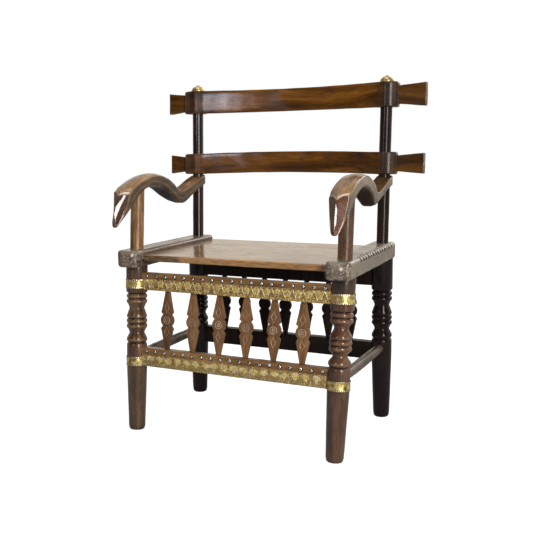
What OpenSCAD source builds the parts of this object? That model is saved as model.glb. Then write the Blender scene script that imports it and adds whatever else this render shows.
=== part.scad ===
// Carved wooden armchair with turned legs, splatted stretchers and beaked arm ends.
// Millimetres, +Z up, the sitter faces -Y, +X is the viewer's right from the front.

/* [Overall] */
// Height of the seat rail tops above the floor
rail_top = 434; // [420:1:450]
// Front posts to rear posts, front to back, at the rail tops
depth = 294; // [285:1:305]
// Half the distance between the front posts
front_x = 258; // [256:0.5:260]
// Half the distance between the rear posts
rear_x = 253; // [251:0.5:256]
// Clearance of a tenon in its mortise
fit = 0.15; // [0.1:0.05:0.3]

/* [Rake and splay] */
// Backward lean of the front legs and arm posts, degrees
front_rake = 5; // [3:0.5:6]
// Inward lean of the front feet, degrees
front_toe = 0.9; // [0:0.1:1.5]
// Outward lean of the rear feet, degrees
rear_splay = 0.6; // [0:0.1:1.5]
// Backward lean of the back posts, degrees
back_lean = 2.5; // [1:0.5:4]

/* [Seat rails] */
// Height of a seat rail
rail_h = 40; // [36:1:44]
// Width of a seat rail
rail_w = 57.5; // [55:0.5:60]
// Middle of the chair to the middle of a seat rail, at its front end
rail_x = 257.2; // [256:0.1:259]
// Angle by which the seat rails close in towards the back, degrees
rail_toe = 1.1; // [0.8:0.1:1.3]
// Rail length in front of the front posts
rail_front = 50; // [40:1:60]
// Rail length behind the rear posts
rail_back = 33; // [26:1:36]
// Radius of the rounded upright corners
rail_corner = 14; // [8:1:16]
// Radius of the rounded long edges
rail_edge = 8; // [4:1:10]
// Number of carved chips along the outer top edge
chip_count = 27; // [10:1:30]
// Distance between carved chips
chip_pitch = 9.5; // [8:0.5:12]
// Depth of a carved chip
chip_depth = 2.2; // [1:0.1:3]
// Length of a carved chip across the rail
chip_len = 12; // [6:1:16]
// Radius of a rail peg
peg_r = 3; // [2:0.5:4]
// Height of the pegs above the rail underside
peg_z = 10; // [8:1:12]

/* [Seat board] */
// Thickness of the seat board
seat_t = 15; // [12:1:18]
// Seat board top below the rail tops
seat_drop = 12; // [8:1:16]
// Depth of the housing that holds the board's tongue in a rail
seat_house = 8; // [4:1:10]
// Thickness of the tongue along each side of the board
seat_tongue = 10; // [8:1:11]
// Seat board length in front of the front posts
seat_front = 17; // [10:1:24]

/* [Legs] */
// Radius of the plain leg top
leg_r = 25.5; // [24:0.5:27]
// Radius of the beads
bead_r = 24.7; // [23:0.1:26]
// Radius of the narrow grooves between beads
groove_r = 22; // [20:0.5:23]
// Radius of the necks of a leg
neck_r = 17.6; // [14:0.1:20]
// Radius of the necks of the front right leg
front_right_neck_r = 15.4; // [13:0.1:20]
// Radius of the leg below the turnings
shank_r = 24.2; // [22:0.1:25]
// Radius near the foot
foot_r = 19.8; // [17:0.1:22]
// Radius of the worn foot edge at the floor
foot_edge_r = 17; // [14:0.5:19]
// Plain top below the rail underside, down to the first groove
plain_len = 64.5; // [60:0.5:70]
// Turnings of the front left leg, raised
front_left_lift = 2.5; // [0:0.5:6]
// Turnings of the front right leg, lowered
front_right_drop = 2.5; // [0:0.5:6]
// Turnings of the rear legs, lowered
rear_drop = 8; // [0:0.5:10]
// Radius of the tenons at the leg tops and post feet
stub_r = 11.5; // [9:0.5:13]
// Length of the tenons at the leg tops and post feet
stub_len = 16; // [12:1:18]

/* [Posts] */
// Radius of a front arm post
arm_post_r = 16; // [14:0.5:18]
// Depth of an arm post's socket below the top of the arm's rear end
arm_post_drop = 9; // [6:1:12]
// Radius of a back post
back_post_r = 14; // [12:0.5:15]

/* [Cross rails] */
// Thickness of the front and rear cross rails
cross_t = 24; // [20:1:26]
// Height of the upper cross rails
upper_cross_h = 41; // [36:1:44]
// Height of the lower cross rails
lower_cross_h = 43.5; // [38:0.5:46]
// Top of the front upper rail below the seat rail tops
front_upper_drop = 55; // [50:1:60]
// Top of the front lower rail below the seat rail tops
front_lower_drop = 234; // [228:1:240]
// Top of the rear upper rail below the seat rail tops
rear_upper_drop = 63; // [58:1:68]
// Top of the rear lower rail below the seat rail tops
rear_lower_drop = 246; // [240:1:252]
// Depth of cross rail tenons in the legs
cross_tenon = 14; // [10:1:16]
// Thickness of cross rail tenons
cross_tenon_t = 11; // [8:1:14]

/* [Side stretchers] */
// Radius of a side stretcher in the middle
stretcher_r = 12; // [10:0.5:13]
// Radius of a side stretcher where it meets a leg
stretcher_end_r = 10.5; // [8:0.5:12]
// Height of the side stretchers above the floor
stretcher_z = 177; // [172:1:182]

/* [Splats] */
// Number of front splats
front_splats = 6; // [4:1:7]
// Distance between front splats
front_splat_pitch = 68; // [62:0.5:72]
// Number of rear splats
rear_splats = 7; // [5:1:8]
// Distance between rear splats
rear_splat_pitch = 58.5; // [54:0.5:62]
// Thickness of a splat
splat_t = 8; // [7:0.5:11]
// Half width of a splat where it meets the upper rail
splat_top_w = 5.5; // [4:0.5:8]
// Half width of the shoulders
splat_shoulder_w = 15.2; // [12:0.1:18]
// Half width of the notches
splat_notch_w = 12; // [9:0.5:14]
// Radius of the round lobe
splat_lobe_r = 16.7; // [14:0.1:19]
// Half width of a splat where it meets the lower rail
splat_foot_w = 5.5; // [4:0.5:8]
// Centre of the lobe below the upper rail
splat_lobe_z = 68.5; // [64:0.5:74]

/* [Brass] */
// Thickness of the embossed strips
strip_t = 1; // [0.6:0.1:1.6]
// Height of the upper strip
upper_strip_h = 27; // [24:0.5:30]
// Height of the lower strip
lower_strip_h = 27.5; // [24:0.5:30]
// Nails in a row
nail_count = 19; // [15:1:21]
// Distance between nails
nail_pitch = 24.5; // [20:0.5:26]
// Radius of a nail head
nail_r = 3.4; // [2.5:0.1:4]
// Height of a nail head
nail_h = 2.2; // [1.5:0.1:3]
// Nail row below the top of its rail
nail_drop = 8; // [6:0.5:10]
// Height of a leg band
band_h = 21; // [18:0.5:24]
// Thickness of a leg band
band_t = 0.9; // [0.6:0.1:1.4]
// Middle of the upper bands below the seat rail tops
upper_band_drop = 83; // [80:0.5:86]
// Middle of the lower bands below the seat rail tops
lower_band_drop = 268; // [262:0.5:274]

/* [Arms] */
// Height of the arm's rear end above the rail tops
arm_rise = 162; // [156:1:168]
// Angle by which the arms open towards the front, degrees
arm_toe = 1.35; // [1:0.05:1.6]
// Half width of an arm over the front post
arm_w = 23; // [20:0.5:25]
// Half width of an arm at the dip
arm_dip_w = 18; // [16:0.5:20]
// Half width of an arm around the back post
arm_end_w = 19.5; // [18:0.5:21]

/* [Back slats] */
// Gap between an arm's rear end and the lower slat
arm_gap = 1; // [0.5:0.1:3]
// Height of the lower slat
lower_slat_h = 52.5; // [48:0.5:56]
// Rise of the lower slat in the middle
lower_slat_rise = 5; // [0:0.5:8]
// Open height between the two slats at the posts
slat_space = 104; // [96:0.5:112]
// Height of the top slat
top_slat_h = 58; // [54:0.5:62]
// Narrowing of the top slat in the middle, each edge
top_slat_waist = 1.5; // [0:0.5:4]
// Thickness of a slat
slat_t = 18; // [14:0.5:22]
// How far the middle of a slat is set back
slat_bow = 29; // [20:1:36]
// Half length over the flared ends
slat_half = 344.5; // [336:0.5:350]
// Middle of the chair to the outer end of a post block
block_out = 281; // [276:0.5:286]
// Thickness of a flared end
tail_t = 14; // [10:0.5:18]
// Flared ends below and above the slat's edges
tail_inset = 2.5; // [1:0.5:4]
// How much shorter the lower slat's left end is
tail_short = 5; // [0:1:8]

/* [Finials] */
// Radius of a brass cap
finial_r = 16.5; // [14:0.5:18]
// Height of a brass cap
finial_h = 16; // [12:0.5:20]

/* [Hidden] */
$fn = 64;
lower_slat_z = arm_rise + arm_gap + 0.3;
top_slat_z = lower_slat_z + lower_slat_h + slat_space;
arm_post_top = arm_rise - arm_post_drop;
beak_reach = 85;
back_reach = (top_slat_z + top_slat_h) * sin(back_lean) + (slat_bow / 2 + slat_t) * cos(back_lean);
front_y = -(depth + back_reach - beak_reach) / 2;
rear_y = front_y + depth;
rail_bot = rail_top - rail_h;
rail_y0 = front_y - rail_front;
rail_y1 = rear_y + rail_back;
seat_top = rail_top - seat_drop;
rail_len = rail_y1 - rail_y0;
slat_r = (238 * 238 + slat_bow * slat_bow) / (2 * slat_bow);
nail_hole_r = 1.1;
nail_shank_r = 1;
nail_len = 8;
finial_pin_r = 4;
finial_pin_len = 12;

// Frames. Each has its origin at rail top height, on the post line.
module front_frame() translate([0, front_y, rail_top]) rotate([-front_rake, 0, 0]) children();
module rear_frame() translate([0, rear_y, rail_top]) children();
module back_frame() translate([0, rear_y, rail_top]) rotate([-back_lean, 0, 0]) children();
module front_leg_frame(side)
    front_frame() translate([side * front_x, 0, 0]) rotate([0, side * front_toe, 0]) children();
module rear_leg_frame(side)
    rear_frame() translate([side * rear_x, 0, 0]) rotate([0, -side * rear_splay, 0]) children();
module front_post_frame(side) front_frame() translate([side * front_x, 0, 0]) children();
module back_post_frame(side) back_frame() translate([side * rear_x, 0, 0]) children();

// One bead of a turning, listed from its upper groove to its lower groove.
function bead(s, half, low, high) =
    [for (i = [0:6]) [low + (high - low) * pow(sin(30 * i), 0.7), -(s - half + half * i / 3)]];

// Turned profile: radius and distance below the rail top. The plain top ends at g.
function leg_profile(neck, g) = concat(
    [[0, -rail_h + 6], [leg_r, -rail_h + 6], [leg_r, -g], [groove_r + 0.5, -(g + 3.5)]],
    bead(g + 10.5, 6, groove_r, bead_r),
    bead(g + 23, 6, groove_r + 0.5, bead_r),
    [[groove_r, -(g + 29.5)], [neck + 1, -(g + 36)], [neck, -(g + 39)],
     [neck + 1, -(g + 42)], [bead_r - 1.2, -(g + 55.5)], [bead_r - 0.4, -(g + 59)],
     [groove_r + 0.5, -(g + 63.5)]],
    bead(g + 70, 6.2, groove_r + 0.5, bead_r),
    bead(g + 82.5, 6.2, groove_r + 0.5, bead_r),
    [[groove_r, -(g + 89.3)], [neck + 1, -(g + 95)], [neck + 0.2, -(g + 98)],
     [neck + 1.2, -(g + 101)], [leg_r - 1.5, -(g + 110.5)], [leg_r - 0.8, -(g + 114.5)],
     [leg_r - 1.8, -(g + 118.5)], [groove_r, -(g + 122)],
     [shank_r - 0.4, -(g + 125)], [shank_r, -(g + 127.5)], [shank_r, -rail_top * 0.65],
     [shank_taper(0.3), -rail_top * 0.75], [shank_taper(0.65), -rail_top * 0.86],
     [foot_r, -rail_top + 10], [foot_r - 1, -rail_top + 4],
     [foot_edge_r, -rail_top - 1.5], [foot_edge_r - 2, -rail_top - 6], [0, -rail_top - 6]]);
function shank_taper(k) = shank_r + (foot_r - shank_r) * k;
first_groove = rail_h + plain_len;

module slab(z0, z1) translate([-500, -500, z0]) cube([1000, 1000, z1 - z0]);

// Leg tenon, standing up from the rail underside in the leg frame.
module leg_stub(gap) translate([0, 0, -rail_h - 3])
    cylinder(h = stub_len + 3 + gap, r = stub_r + gap);

// Post tenon, hanging down from the rail top in the post frame.
module post_stub(gap) translate([0, 0, -stub_len - gap])
    cylinder(h = stub_len + 3 + gap, r = stub_r + gap);

// Half distance between the seat rails, or their outer faces, at a given y.
function rail_inner(y) = rail_x - rail_w / 2 / cos(rail_toe) - (y - rail_y0) * tan(rail_toe);
function rail_outer(y) = rail_inner(y) + rail_w / cos(rail_toe);

// A peg through the rail, flush with its outer face when gap is 0.
module peg(side, y, gap) translate([side * (rail_outer(y) + 20 * gap), y, rail_bot + peg_z])
    rotate([0, -90 * side, 0]) cylinder(h = 28 + 21 * gap, r = peg_r + gap);

module pegs(side, gap) {
    peg(side, front_y - 2.6, gap);
    peg(side, rear_y, gap);
}

module front_leg(side, neck, d) color("#4a2c17") difference() {
    union() {
        intersection() {
            front_leg_frame(side) rotate_extrude() polygon(leg_profile(neck, first_groove + d));
            slab(0, rail_bot);
        }
        front_leg_frame(side) leg_stub(0);
    }
    front_cross_tenons(fit);
    stretcher_tenons(side, fit);
    pegs(side, fit);
}

module rear_leg(side) color("#2a1a10") difference() {
    union() {
        intersection() {
            rear_leg_frame(side) rotate_extrude() polygon(leg_profile(neck_r, first_groove + rear_drop));
            slab(0, rail_bot);
        }
        rear_leg_frame(side) leg_stub(0);
    }
    rear_cross_tenons(fit);
    stretcher_tenons(side, fit);
    pegs(side, fit);
}

// Arm post: a plain stick with a shouldered tenon below and a socketed top.
module front_post(side) color("#5a3319") union() {
    difference() {
        front_post_frame(side) translate([0, 0, -4]) cylinder(h = arm_post_top + 4, r = arm_post_r);
        slab(rail_top - 60, rail_top);
    }
    front_post_frame(side) post_stub(0);
}

module back_post(side) color("#25160d") difference() {
    union() {
        difference() {
            back_post_frame(side) translate([0, 0, -4])
                cylinder(h = top_slat_z + top_slat_h + 4, r = back_post_r);
            slab(rail_top - 60, rail_top);
        }
        back_post_frame(side) post_stub(0);
    }
    back_post_frame(side) translate([0, 0, top_slat_z + top_slat_h - finial_pin_len - 1])
        cylinder(h = 20, r = finial_pin_r + fit);
}

module rounded_rect(x0, y0, x1, y1, r) {
    translate([x0 + r, y0]) square([x1 - x0 - 2 * r, y1 - y0]);
    translate([x0, y0 + r]) square([x1 - x0, y1 - y0 - 2 * r]);
    for (x = [x0 + r, x1 - r]) for (y = [y0 + r, y1 - r]) translate([x, y]) circle(r = r);
}

module rail_frame(side) translate([side * rail_x, rail_y0, 0]) rotate([0, 0, side * rail_toe])
    children();

// Seat rail: a block rounded in three directions, housed for the board,
// bored for legs and posts, chip-carved along its outer top edge.
module seat_rail(side) color("#6b4a30") difference() {
    rail_frame(side) intersection() {
        translate([0, 0, rail_bot]) linear_extrude(height = rail_h)
            rounded_rect(-rail_w / 2, 0, rail_w / 2, rail_len, rail_corner);
        translate([0, rail_len + 1, 0]) rotate([90, 0, 0]) linear_extrude(height = rail_len + 2)
            rounded_rect(-rail_w / 2, rail_bot, rail_w / 2, rail_top, rail_edge);
        translate([-rail_w, 0, 0]) rotate([90, 0, 90]) linear_extrude(height = 2 * rail_w)
            rounded_rect(0, rail_bot, rail_len, rail_top, rail_edge);
    }
    seat_tongue(fit);
    front_leg_frame(side) leg_stub(fit);
    rear_leg_frame(side) leg_stub(fit);
    front_post_frame(side) post_stub(fit);
    back_post_frame(side) post_stub(fit);
    pegs(side, fit);
    rail_frame(side) for (i = [0:chip_count - 1])
        translate([side * (rail_w / 2 - chip_len / 2 + 1), rail_front + 28 + i * chip_pitch, rail_top])
            rotate([45, 0, 0])
            cube([chip_len, chip_depth * 1.414, chip_depth * 1.414], center = true);
}

// Board plan between the rails, reaching into them by reach.
module seat_plan(reach, front) {
    y0 = front_y - seat_front - front;
    polygon([[-rail_inner(y0) - reach, y0], [rail_inner(y0) + reach, y0],
        [rail_inner(rail_y1) + reach, rail_y1], [-rail_inner(rail_y1) - reach, rail_y1]]);
}

// The board's tongues, at its underside.
module seat_tongue(gap) translate([0, 0, seat_top - seat_t - gap])
    linear_extrude(height = seat_tongue + 2 * gap)
    seat_plan(seat_house - fit + gap, gap);

module seat_board() color("#8a6a48") union() {
    seat_tongue(0);
    translate([0, 0, seat_top - seat_t]) linear_extrude(height = seat_t) seat_plan(-fit, 0);
}

// Cross rails: coped against the round legs, with a tenon at each end.
module cross_bar(top, h, half) translate([-half, -cross_t / 2, -top - h]) cube([2 * half, cross_t, h]);

module cross_tenon(side, x, top, h, gap)
    translate([side * (x - leg_r + cross_tenon / 2 - 2), 0, -top - h / 2])
    cube([cross_tenon + 10 + 2 * gap, cross_tenon_t + 2 * gap, h - 12 + 2 * gap], center = true);

module front_cross_tenons(gap) front_frame() for (side = [-1, 1]) {
    cross_tenon(side, front_x - 1, front_upper_drop, upper_cross_h, gap);
    cross_tenon(side, front_x - 4, front_lower_drop, lower_cross_h, gap);
}

module rear_cross_tenons(gap) rear_frame() for (side = [-1, 1]) {
    cross_tenon(side, rear_x + 1, rear_upper_drop, upper_cross_h, gap);
    cross_tenon(side, rear_x + 3, rear_lower_drop, lower_cross_h, gap);
}

module front_cope(r) for (side = [-1, 1])
    front_leg_frame(side) translate([0, 0, 30 - rail_top]) cylinder(h = rail_top - 50, r = r + fit);

module rear_cope(r) for (side = [-1, 1])
    rear_leg_frame(side) translate([0, 0, 30 - rail_top]) cylinder(h = rail_top - 50, r = r + fit);

module nail_row(top, r, z_gap) for (i = [0:nail_count - 1])
    translate([(i - (nail_count - 1) / 2) * nail_pitch, -cross_t / 2 + nail_len + z_gap, -top - nail_drop])
    rotate([90, 0, 0]) cylinder(h = nail_len + z_gap + 0.5, r = r);

// Splat outline, hanging from z = 0 down to -len, lobe centred at splat_lobe_z.
module splat_outline(len) {
    polygon([[-splat_top_w, 0], [-splat_top_w - 0.5, -4], [-splat_shoulder_w + 1, -45],
        [-splat_shoulder_w, -49], [-splat_shoulder_w + 1.2, -52], [-splat_notch_w, -56],
        [-splat_notch_w, -82], [-splat_shoulder_w + 0.8, -86],
        [-splat_shoulder_w, -89.5], [-splat_shoulder_w + 1.2, -94],
        [-splat_foot_w, -len + 4], [-splat_foot_w + 0.5, -len],
        [splat_foot_w - 0.5, -len], [splat_foot_w, -len + 4],
        [splat_shoulder_w - 1.2, -94], [splat_shoulder_w, -89.5],
        [splat_shoulder_w - 0.8, -86], [splat_notch_w, -82],
        [splat_notch_w, -56], [splat_shoulder_w - 1.2, -52], [splat_shoulder_w, -49],
        [splat_shoulder_w - 1, -45], [splat_top_w + 0.5, -4], [splat_top_w, 0]]);
    translate([0, -splat_lobe_z]) circle(r = splat_lobe_r);
}

module splat_stubs(x, top, len, gap) for (z = [-top + 4, -top - len - 4])
    translate([x, 0, z]) cube([7 + 2 * gap, 5 + 2 * gap, 10 + 2 * gap], center = true);

module splat(x, top, len) {
    translate([x, splat_t / 2, -top]) rotate([90, 0, 0]) linear_extrude(height = splat_t)
        splat_outline(len);
    splat_stubs(x, top, len, 0);
}

front_splat_top = front_upper_drop + upper_cross_h;
front_splat_len = front_lower_drop - front_splat_top;
rear_splat_top = rear_upper_drop + upper_cross_h;
rear_splat_len = rear_lower_drop - rear_splat_top;
function front_splat_x(i) = (i - (front_splats + 1) / 2) * front_splat_pitch;
function rear_splat_x(i) = (i - (rear_splats + 1) / 2) * rear_splat_pitch;

module front_splat(i) color("#6e3f22") front_frame()
    splat(front_splat_x(i), front_splat_top, front_splat_len);
module rear_splat(i) color("#20140c") rear_frame()
    splat(rear_splat_x(i), rear_splat_top, rear_splat_len);

module front_cross(top, h, r) color("#6a4526") difference() {
    union() {
        difference() {
            front_frame() cross_bar(top, h, front_x + 10);
            front_cope(r);
        }
        intersection() {
            front_cross_tenons(0);
            front_frame() cross_bar(top, h, front_x + 10);
        }
    }
    front_frame() {
        for (i = [1:front_splats])
            splat_stubs(front_splat_x(i), front_splat_top, front_splat_len, fit);
        nail_row(top, nail_hole_r, 0.3);
    }
}

module rear_cross(top, h, r) color("#1d120b") difference() {
    union() {
        difference() {
            rear_frame() cross_bar(top, h, rear_x + 10);
            rear_cope(r);
        }
        intersection() {
            rear_cross_tenons(0);
            rear_frame() cross_bar(top, h, rear_x + 10);
        }
    }
    rear_frame() for (i = [1:rear_splats])
        splat_stubs(rear_splat_x(i), rear_splat_top, rear_splat_len, fit);
}

// Side stretcher: a slim round bar, thicker in the middle, coped at both legs.
module stretcher_axis(side) translate([side * (front_x - 2), front_y, stretcher_z]) rotate([-90, 0, 0])
    children();

module stretcher_tenons(side, gap) stretcher_axis(side)
    translate([0, 0, -16 - gap]) cylinder(h = depth + 6 + 2 * gap, r = 7 + gap);

module stretcher_body(side) stretcher_axis(side) rotate_extrude()
    polygon([[0, -20], [stretcher_end_r, -20], [stretcher_end_r, 8],
        [stretcher_r, 60], [stretcher_r, depth * 0.6], [stretcher_end_r, depth - 20],
        [stretcher_end_r, depth + 10], [0, depth + 10]]);

module stretcher(side) color("#33200f") union() {
    difference() {
        stretcher_body(side);
        front_leg_frame(side) translate([0, 0, stretcher_z - rail_top - 60])
            cylinder(h = 120, r = shank_r + fit);
        rear_leg_frame(side) translate([0, 0, stretcher_z - rail_top - 60])
            cylinder(h = 120, r = shank_r + fit);
        translate([-400, front_y - 60, stretcher_z - 60]) cube([800, 60 - 22, 120]);
    }
    intersection() {
        stretcher_tenons(side, 0);
        stretcher_body(side);
    }
}

// Embossed strips lie on the rail faces, cut to the legs.
module strip(top, h, strip_h) color("#8f7a3a") difference() {
    front_frame() translate([-front_x, -cross_t / 2 - strip_t, -top - h])
        cube([2 * front_x, strip_t, strip_h]);
    front_cope(leg_r + band_t + 0.3);
}

module nails(top) color("#b9b6ae") front_frame() {
    for (i = [0:nail_count - 1])
        translate([(i - (nail_count - 1) / 2) * nail_pitch, -cross_t / 2, -top - nail_drop])
            rotate([90, 0, 0]) union() {
                rotate_extrude($fn = 32) polygon([[0, 0], [nail_r, 0], [nail_r - 0.3, nail_h * 0.35],
                    [nail_r - 1, nail_h * 0.75], [nail_r - 2.2, nail_h], [0, nail_h]]);
                translate([0, 0, -nail_len]) cylinder(h = nail_len + 0.5, r = nail_shank_r, $fn = 24);
            }
}

// Room that a cross rail takes out of a leg band.
module band_gap(top, h) translate([15 - front_x, -cross_t / 2 - 0.3, -top - h - fit])
    cube([2 * front_x - 30, cross_t + 0.6, h + 2 * fit]);

// Leg bands: brass rings, open where a rail or a stretcher enters the leg.
module band(side, drop, r) color("#b08d3c") difference() {
    front_leg_frame(side) translate([0, 0, -drop - band_h / 2]) difference() {
        cylinder(h = band_h, r = r + 0.1 + band_t);
        translate([0, 0, -1]) cylinder(h = band_h + 2, r = r + 0.1);
    }
    front_frame() {
        band_gap(front_upper_drop, upper_cross_h);
        band_gap(front_lower_drop, lower_cross_h);
    }
    stretcher_axis(side) translate([0, 0, -30]) cylinder(h = 90, r = stretcher_r + 0.5);
}

// Arm side profile: y behind the front post line, z above the arm's rear top.
arm_profile = [
    [-52, -36], [-50, -30], [-46, -24], [-38, -17.5], [-28, -12.5], [-14, -6.5], [0, -1.5],
    [14, 3], [28, 6.8], [42, 9.6], [56, 11.4], [70, 11.8], [84, 10.2], [94, 7.6], [105, 4],
    [116, 0.4], [125, -3], [134, -7.5], [145, -13.5], [152, -17.5], [160, -23], [167, -27],
    [174, -30.4], [184, -33.2], [198, -33.6], [214, -30.4], [231, -25.6], [244, -20.6],
    [257, -15.6], [270, -11], [282, -7.4], [295, -4], [306, -2], [325, -0.5],
    [325, -22], [310, -24.5], [296, -28.5], [282, -33.5], [266, -39.5],
    [250, -46], [235, -52.5], [221, -59.5], [208, -65], [196, -67.5], [184, -67], [173, -64],
    [161, -58], [148, -50.5], [135, -43.5], [122, -36], [109, -29.2], [96, -23.5],
    [83, -19.5], [70, -17], [56, -16], [42, -17], [29, -19.5], [16, -23.2], [4, -28],
    [-8, -34.5], [-20, -43.5], [-31, -54.5], [-42, -66.5], [-53, -78.5], [-65, -89.5],
    [-74, -98.5], [-78, -103], [-81, -104.6], [-83.6, -103.4], [-85, -99.5], [-84.4, -94.5]];

// Arm plan: half width and y.
arm_plan = [
    [arm_w, -90], [arm_w, 62], [arm_w - 0.6, 110], [arm_w - 1, 138], [arm_w - 1.9, 155],
    [arm_dip_w + 1.2, 170], [arm_dip_w, 188], [arm_dip_w, 212], [arm_dip_w + 0.6, 236],
    [arm_end_w - 0.3, 268], [arm_end_w, 285], [arm_end_w, 300.4]];

arm_end_y = depth + arm_rise * 0.9 * tan(back_lean);

// Everything behind the arch stretches with the depth of the chair.
function arm_y(y) = y < 60 ? y : 60 + (y - 60) * (arm_end_y - 60) / 240.4;

module arm_plan_shape() {
    polygon(concat([for (p = arm_plan) [p[0], arm_y(p[1])]],
        [for (i = [len(arm_plan) - 1:-1:0]) [-arm_plan[i][0], arm_y(arm_plan[i][1])]]));
    translate([0, arm_end_y]) circle(r = arm_end_w);
}

// Beak from the front: half width and height, drawn in towards the tip.
beak_half = [[arm_w + 8, -22], [arm_w, -30], [arm_w - 1.5, -44], [arm_w - 5, -66],
    [arm_w - 8, -79], [arm_w - 11, -90], [arm_w - 14, -99], [arm_w - 17, -106],
    [arm_w - 17, -130], [60, -130], [60, -22]];

// Everything the carver took off the head: both flanks and the two planes of the nose.
module beak_cut() {
    translate([0, -beak_reach, -98]) rotate([-27, 0, 0]) translate([0, 0, -28])
        linear_extrude(height = 100)
        polygon([[0, 0], [40, 24], [40, -50], [-40, -50], [-40, 24]]);
    for (m = [0, 1]) mirror([m, 0, 0]) translate([0, 4, 0]) rotate([90, 0, 0])
        linear_extrude(height = 120) polygon(beak_half);
}

module arm_body() difference() {
    intersection() {
        rotate([90, 0, 90]) linear_extrude(height = 60, center = true)
            polygon([for (p = arm_profile) [arm_y(p[0]), p[1]]]);
        translate([0, 0, -116]) linear_extrude(height = 130) arm_plan_shape();
    }
    beak_cut();
}

module armrest(side) color("#5c381c") difference() {
    translate([side * (rear_x + 0.5), front_y + arm_end_y, rail_top + arm_rise])
        rotate([0, 0, side * arm_toe]) translate([0, -arm_end_y, 0]) arm_body();
    front_post_frame(side) translate([0, 0, -4]) cylinder(h = arm_post_top + 4 + fit, r = arm_post_r + fit);
    back_post_frame(side) cylinder(h = 250, r = back_post_r + fit);
}

// Back slats. Plan: bowed bar, post blocks with a front ridge, flared tails set back.
module slat_plan() {
    intersection() {
        difference() {
            translate([0, slat_bow / 2 - slat_r]) circle(r = slat_r + slat_t, $fn = 720);
            translate([0, slat_bow / 2 - slat_r]) circle(r = slat_r, $fn = 720);
        }
        translate([-238, -40]) square([476, 80]);
    }
    for (m = [0, 1]) mirror([m, 0]) {
        polygon([[232, slat_bow / 2 - 27.5], [rear_x + 2, -19], [block_out - 8, -12],
            [block_out, -5], [block_out, 16], [block_out - 8, 18.5], [240, 19],
            [226, 8], [226, -10]]);
        polygon([[block_out - 6, 2], [slat_half, 22 - tail_t], [slat_half, 22],
            [block_out - 6, 17]]);
    }
}

// Elevation: edges arched by rise, narrowed by waist, chamfered blocks, flared tails.
function edge_x(i) = -238 + 476 * i / 24;
function edge_s(i) = 1 - pow(edge_x(i) / 238, 2);

module slat_front(h, rise, waist, neck) polygon(concat(
    [[-slat_half, h - tail_inset], [-block_out, h - neck], [-block_out, h - 4],
     [-block_out + 4, h]],
    [for (i = [0:24]) [edge_x(i), h + (rise - waist) * edge_s(i)]],
    [[block_out - 4, h], [block_out, h - 4], [block_out, h - neck],
     [slat_half, h - tail_inset], [slat_half, tail_inset - 1], [block_out, neck - 1],
     [block_out, 4], [block_out - 4, 0]],
    [for (i = [24:-1:0]) [edge_x(i), (rise + waist) * edge_s(i)]],
    [[-block_out + 4, 0], [-block_out, 4], [-block_out, neck - 1],
     [-slat_half, tail_inset - 1]]));

module slat(z, h, rise, waist, neck, short) difference() {
    back_frame() translate([0, 0, z]) intersection() {
        translate([0, 0, -10]) linear_extrude(height = h + 20) slat_plan();
        translate([0, 60, 0]) rotate([90, 0, 0]) linear_extrude(height = 120)
            slat_front(h, rise, waist, neck);
    }
    for (side = [-1, 1]) back_post_frame(side) translate([0, 0, z - 20])
        cylinder(h = h + 40, r = back_post_r + fit);
    back_frame() translate([-slat_half - 1, -60, z - 5]) cube([short + 1, 120, h + 10]);
}

module top_back_slat() color("#53310f") slat(top_slat_z, top_slat_h, 0, top_slat_waist, 8.5, -0.5);
module lower_back_slat() color("#4d2d12") slat(lower_slat_z, lower_slat_h, lower_slat_rise, 0, 8, tail_short);

module finial(side) color("#c2a04a") back_post_frame(side)
    translate([0, 0, top_slat_z + top_slat_h]) union() {
        rotate_extrude() polygon([[0, 0], [finial_r, 0], [finial_r, 1.6], [finial_r - 1.2, 4],
            [finial_r - 3.6, 7.4], [finial_r - 6.8, 10.4], [finial_r - 10, 12.4],
            [4.6, 13.4], [3.6, 15], [2, finial_h - 0.3], [0, finial_h]]);
        translate([0, 0, -finial_pin_len]) cylinder(h = finial_pin_len + 1, r = finial_pin_r);
    }

module rail_pegs(side) color("#3a2616") pegs(side, 0);

front_leg(-1, neck_r, -front_left_lift);  // front_left_leg
front_leg(1, front_right_neck_r, front_right_drop);  // front_right_leg
rear_leg(-1);  // rear_left_leg
rear_leg(1);  // rear_right_leg
front_post(-1);  // front_left_post
front_post(1);  // front_right_post
back_post(-1);  // rear_left_post
back_post(1);  // rear_right_post
seat_rail(-1);  // left_seat_rail
seat_rail(1);  // right_seat_rail
seat_board();
front_cross(front_upper_drop, upper_cross_h, leg_r);  // front_upper_rail
front_cross(front_lower_drop, lower_cross_h, shank_r);  // front_lower_rail
rear_cross(rear_upper_drop, upper_cross_h, leg_r);  // rear_upper_rail
rear_cross(rear_lower_drop, lower_cross_h, shank_r);  // rear_lower_rail
stretcher(-1);  // left_stretcher
stretcher(1);  // right_stretcher
front_splat(1);  // front_splat_1
front_splat(2);  // front_splat_2
front_splat(3);  // front_splat_3
front_splat(4);  // front_splat_4
front_splat(5);  // front_splat_5
front_splat(6);  // front_splat_6
rear_splat(1);  // rear_splat_1
rear_splat(2);  // rear_splat_2
rear_splat(3);  // rear_splat_3
rear_splat(4);  // rear_splat_4
rear_splat(5);  // rear_splat_5
rear_splat(6);  // rear_splat_6
rear_splat(7);  // rear_splat_7
strip(front_upper_drop, upper_cross_h, upper_strip_h);  // upper_brass_strip
strip(front_lower_drop, lower_cross_h, lower_strip_h);  // lower_brass_strip
nails(front_upper_drop);  // upper_nails
nails(front_lower_drop);  // lower_nails
band(-1, upper_band_drop, leg_r);  // front_left_upper_band
band(-1, lower_band_drop, shank_r);  // front_left_lower_band
band(1, upper_band_drop, leg_r);  // front_right_upper_band
band(1, lower_band_drop, shank_r);  // front_right_lower_band
armrest(-1);  // left_armrest
armrest(1);  // right_armrest
top_back_slat();
lower_back_slat();
finial(-1);  // left_finial
finial(1);  // right_finial
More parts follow.
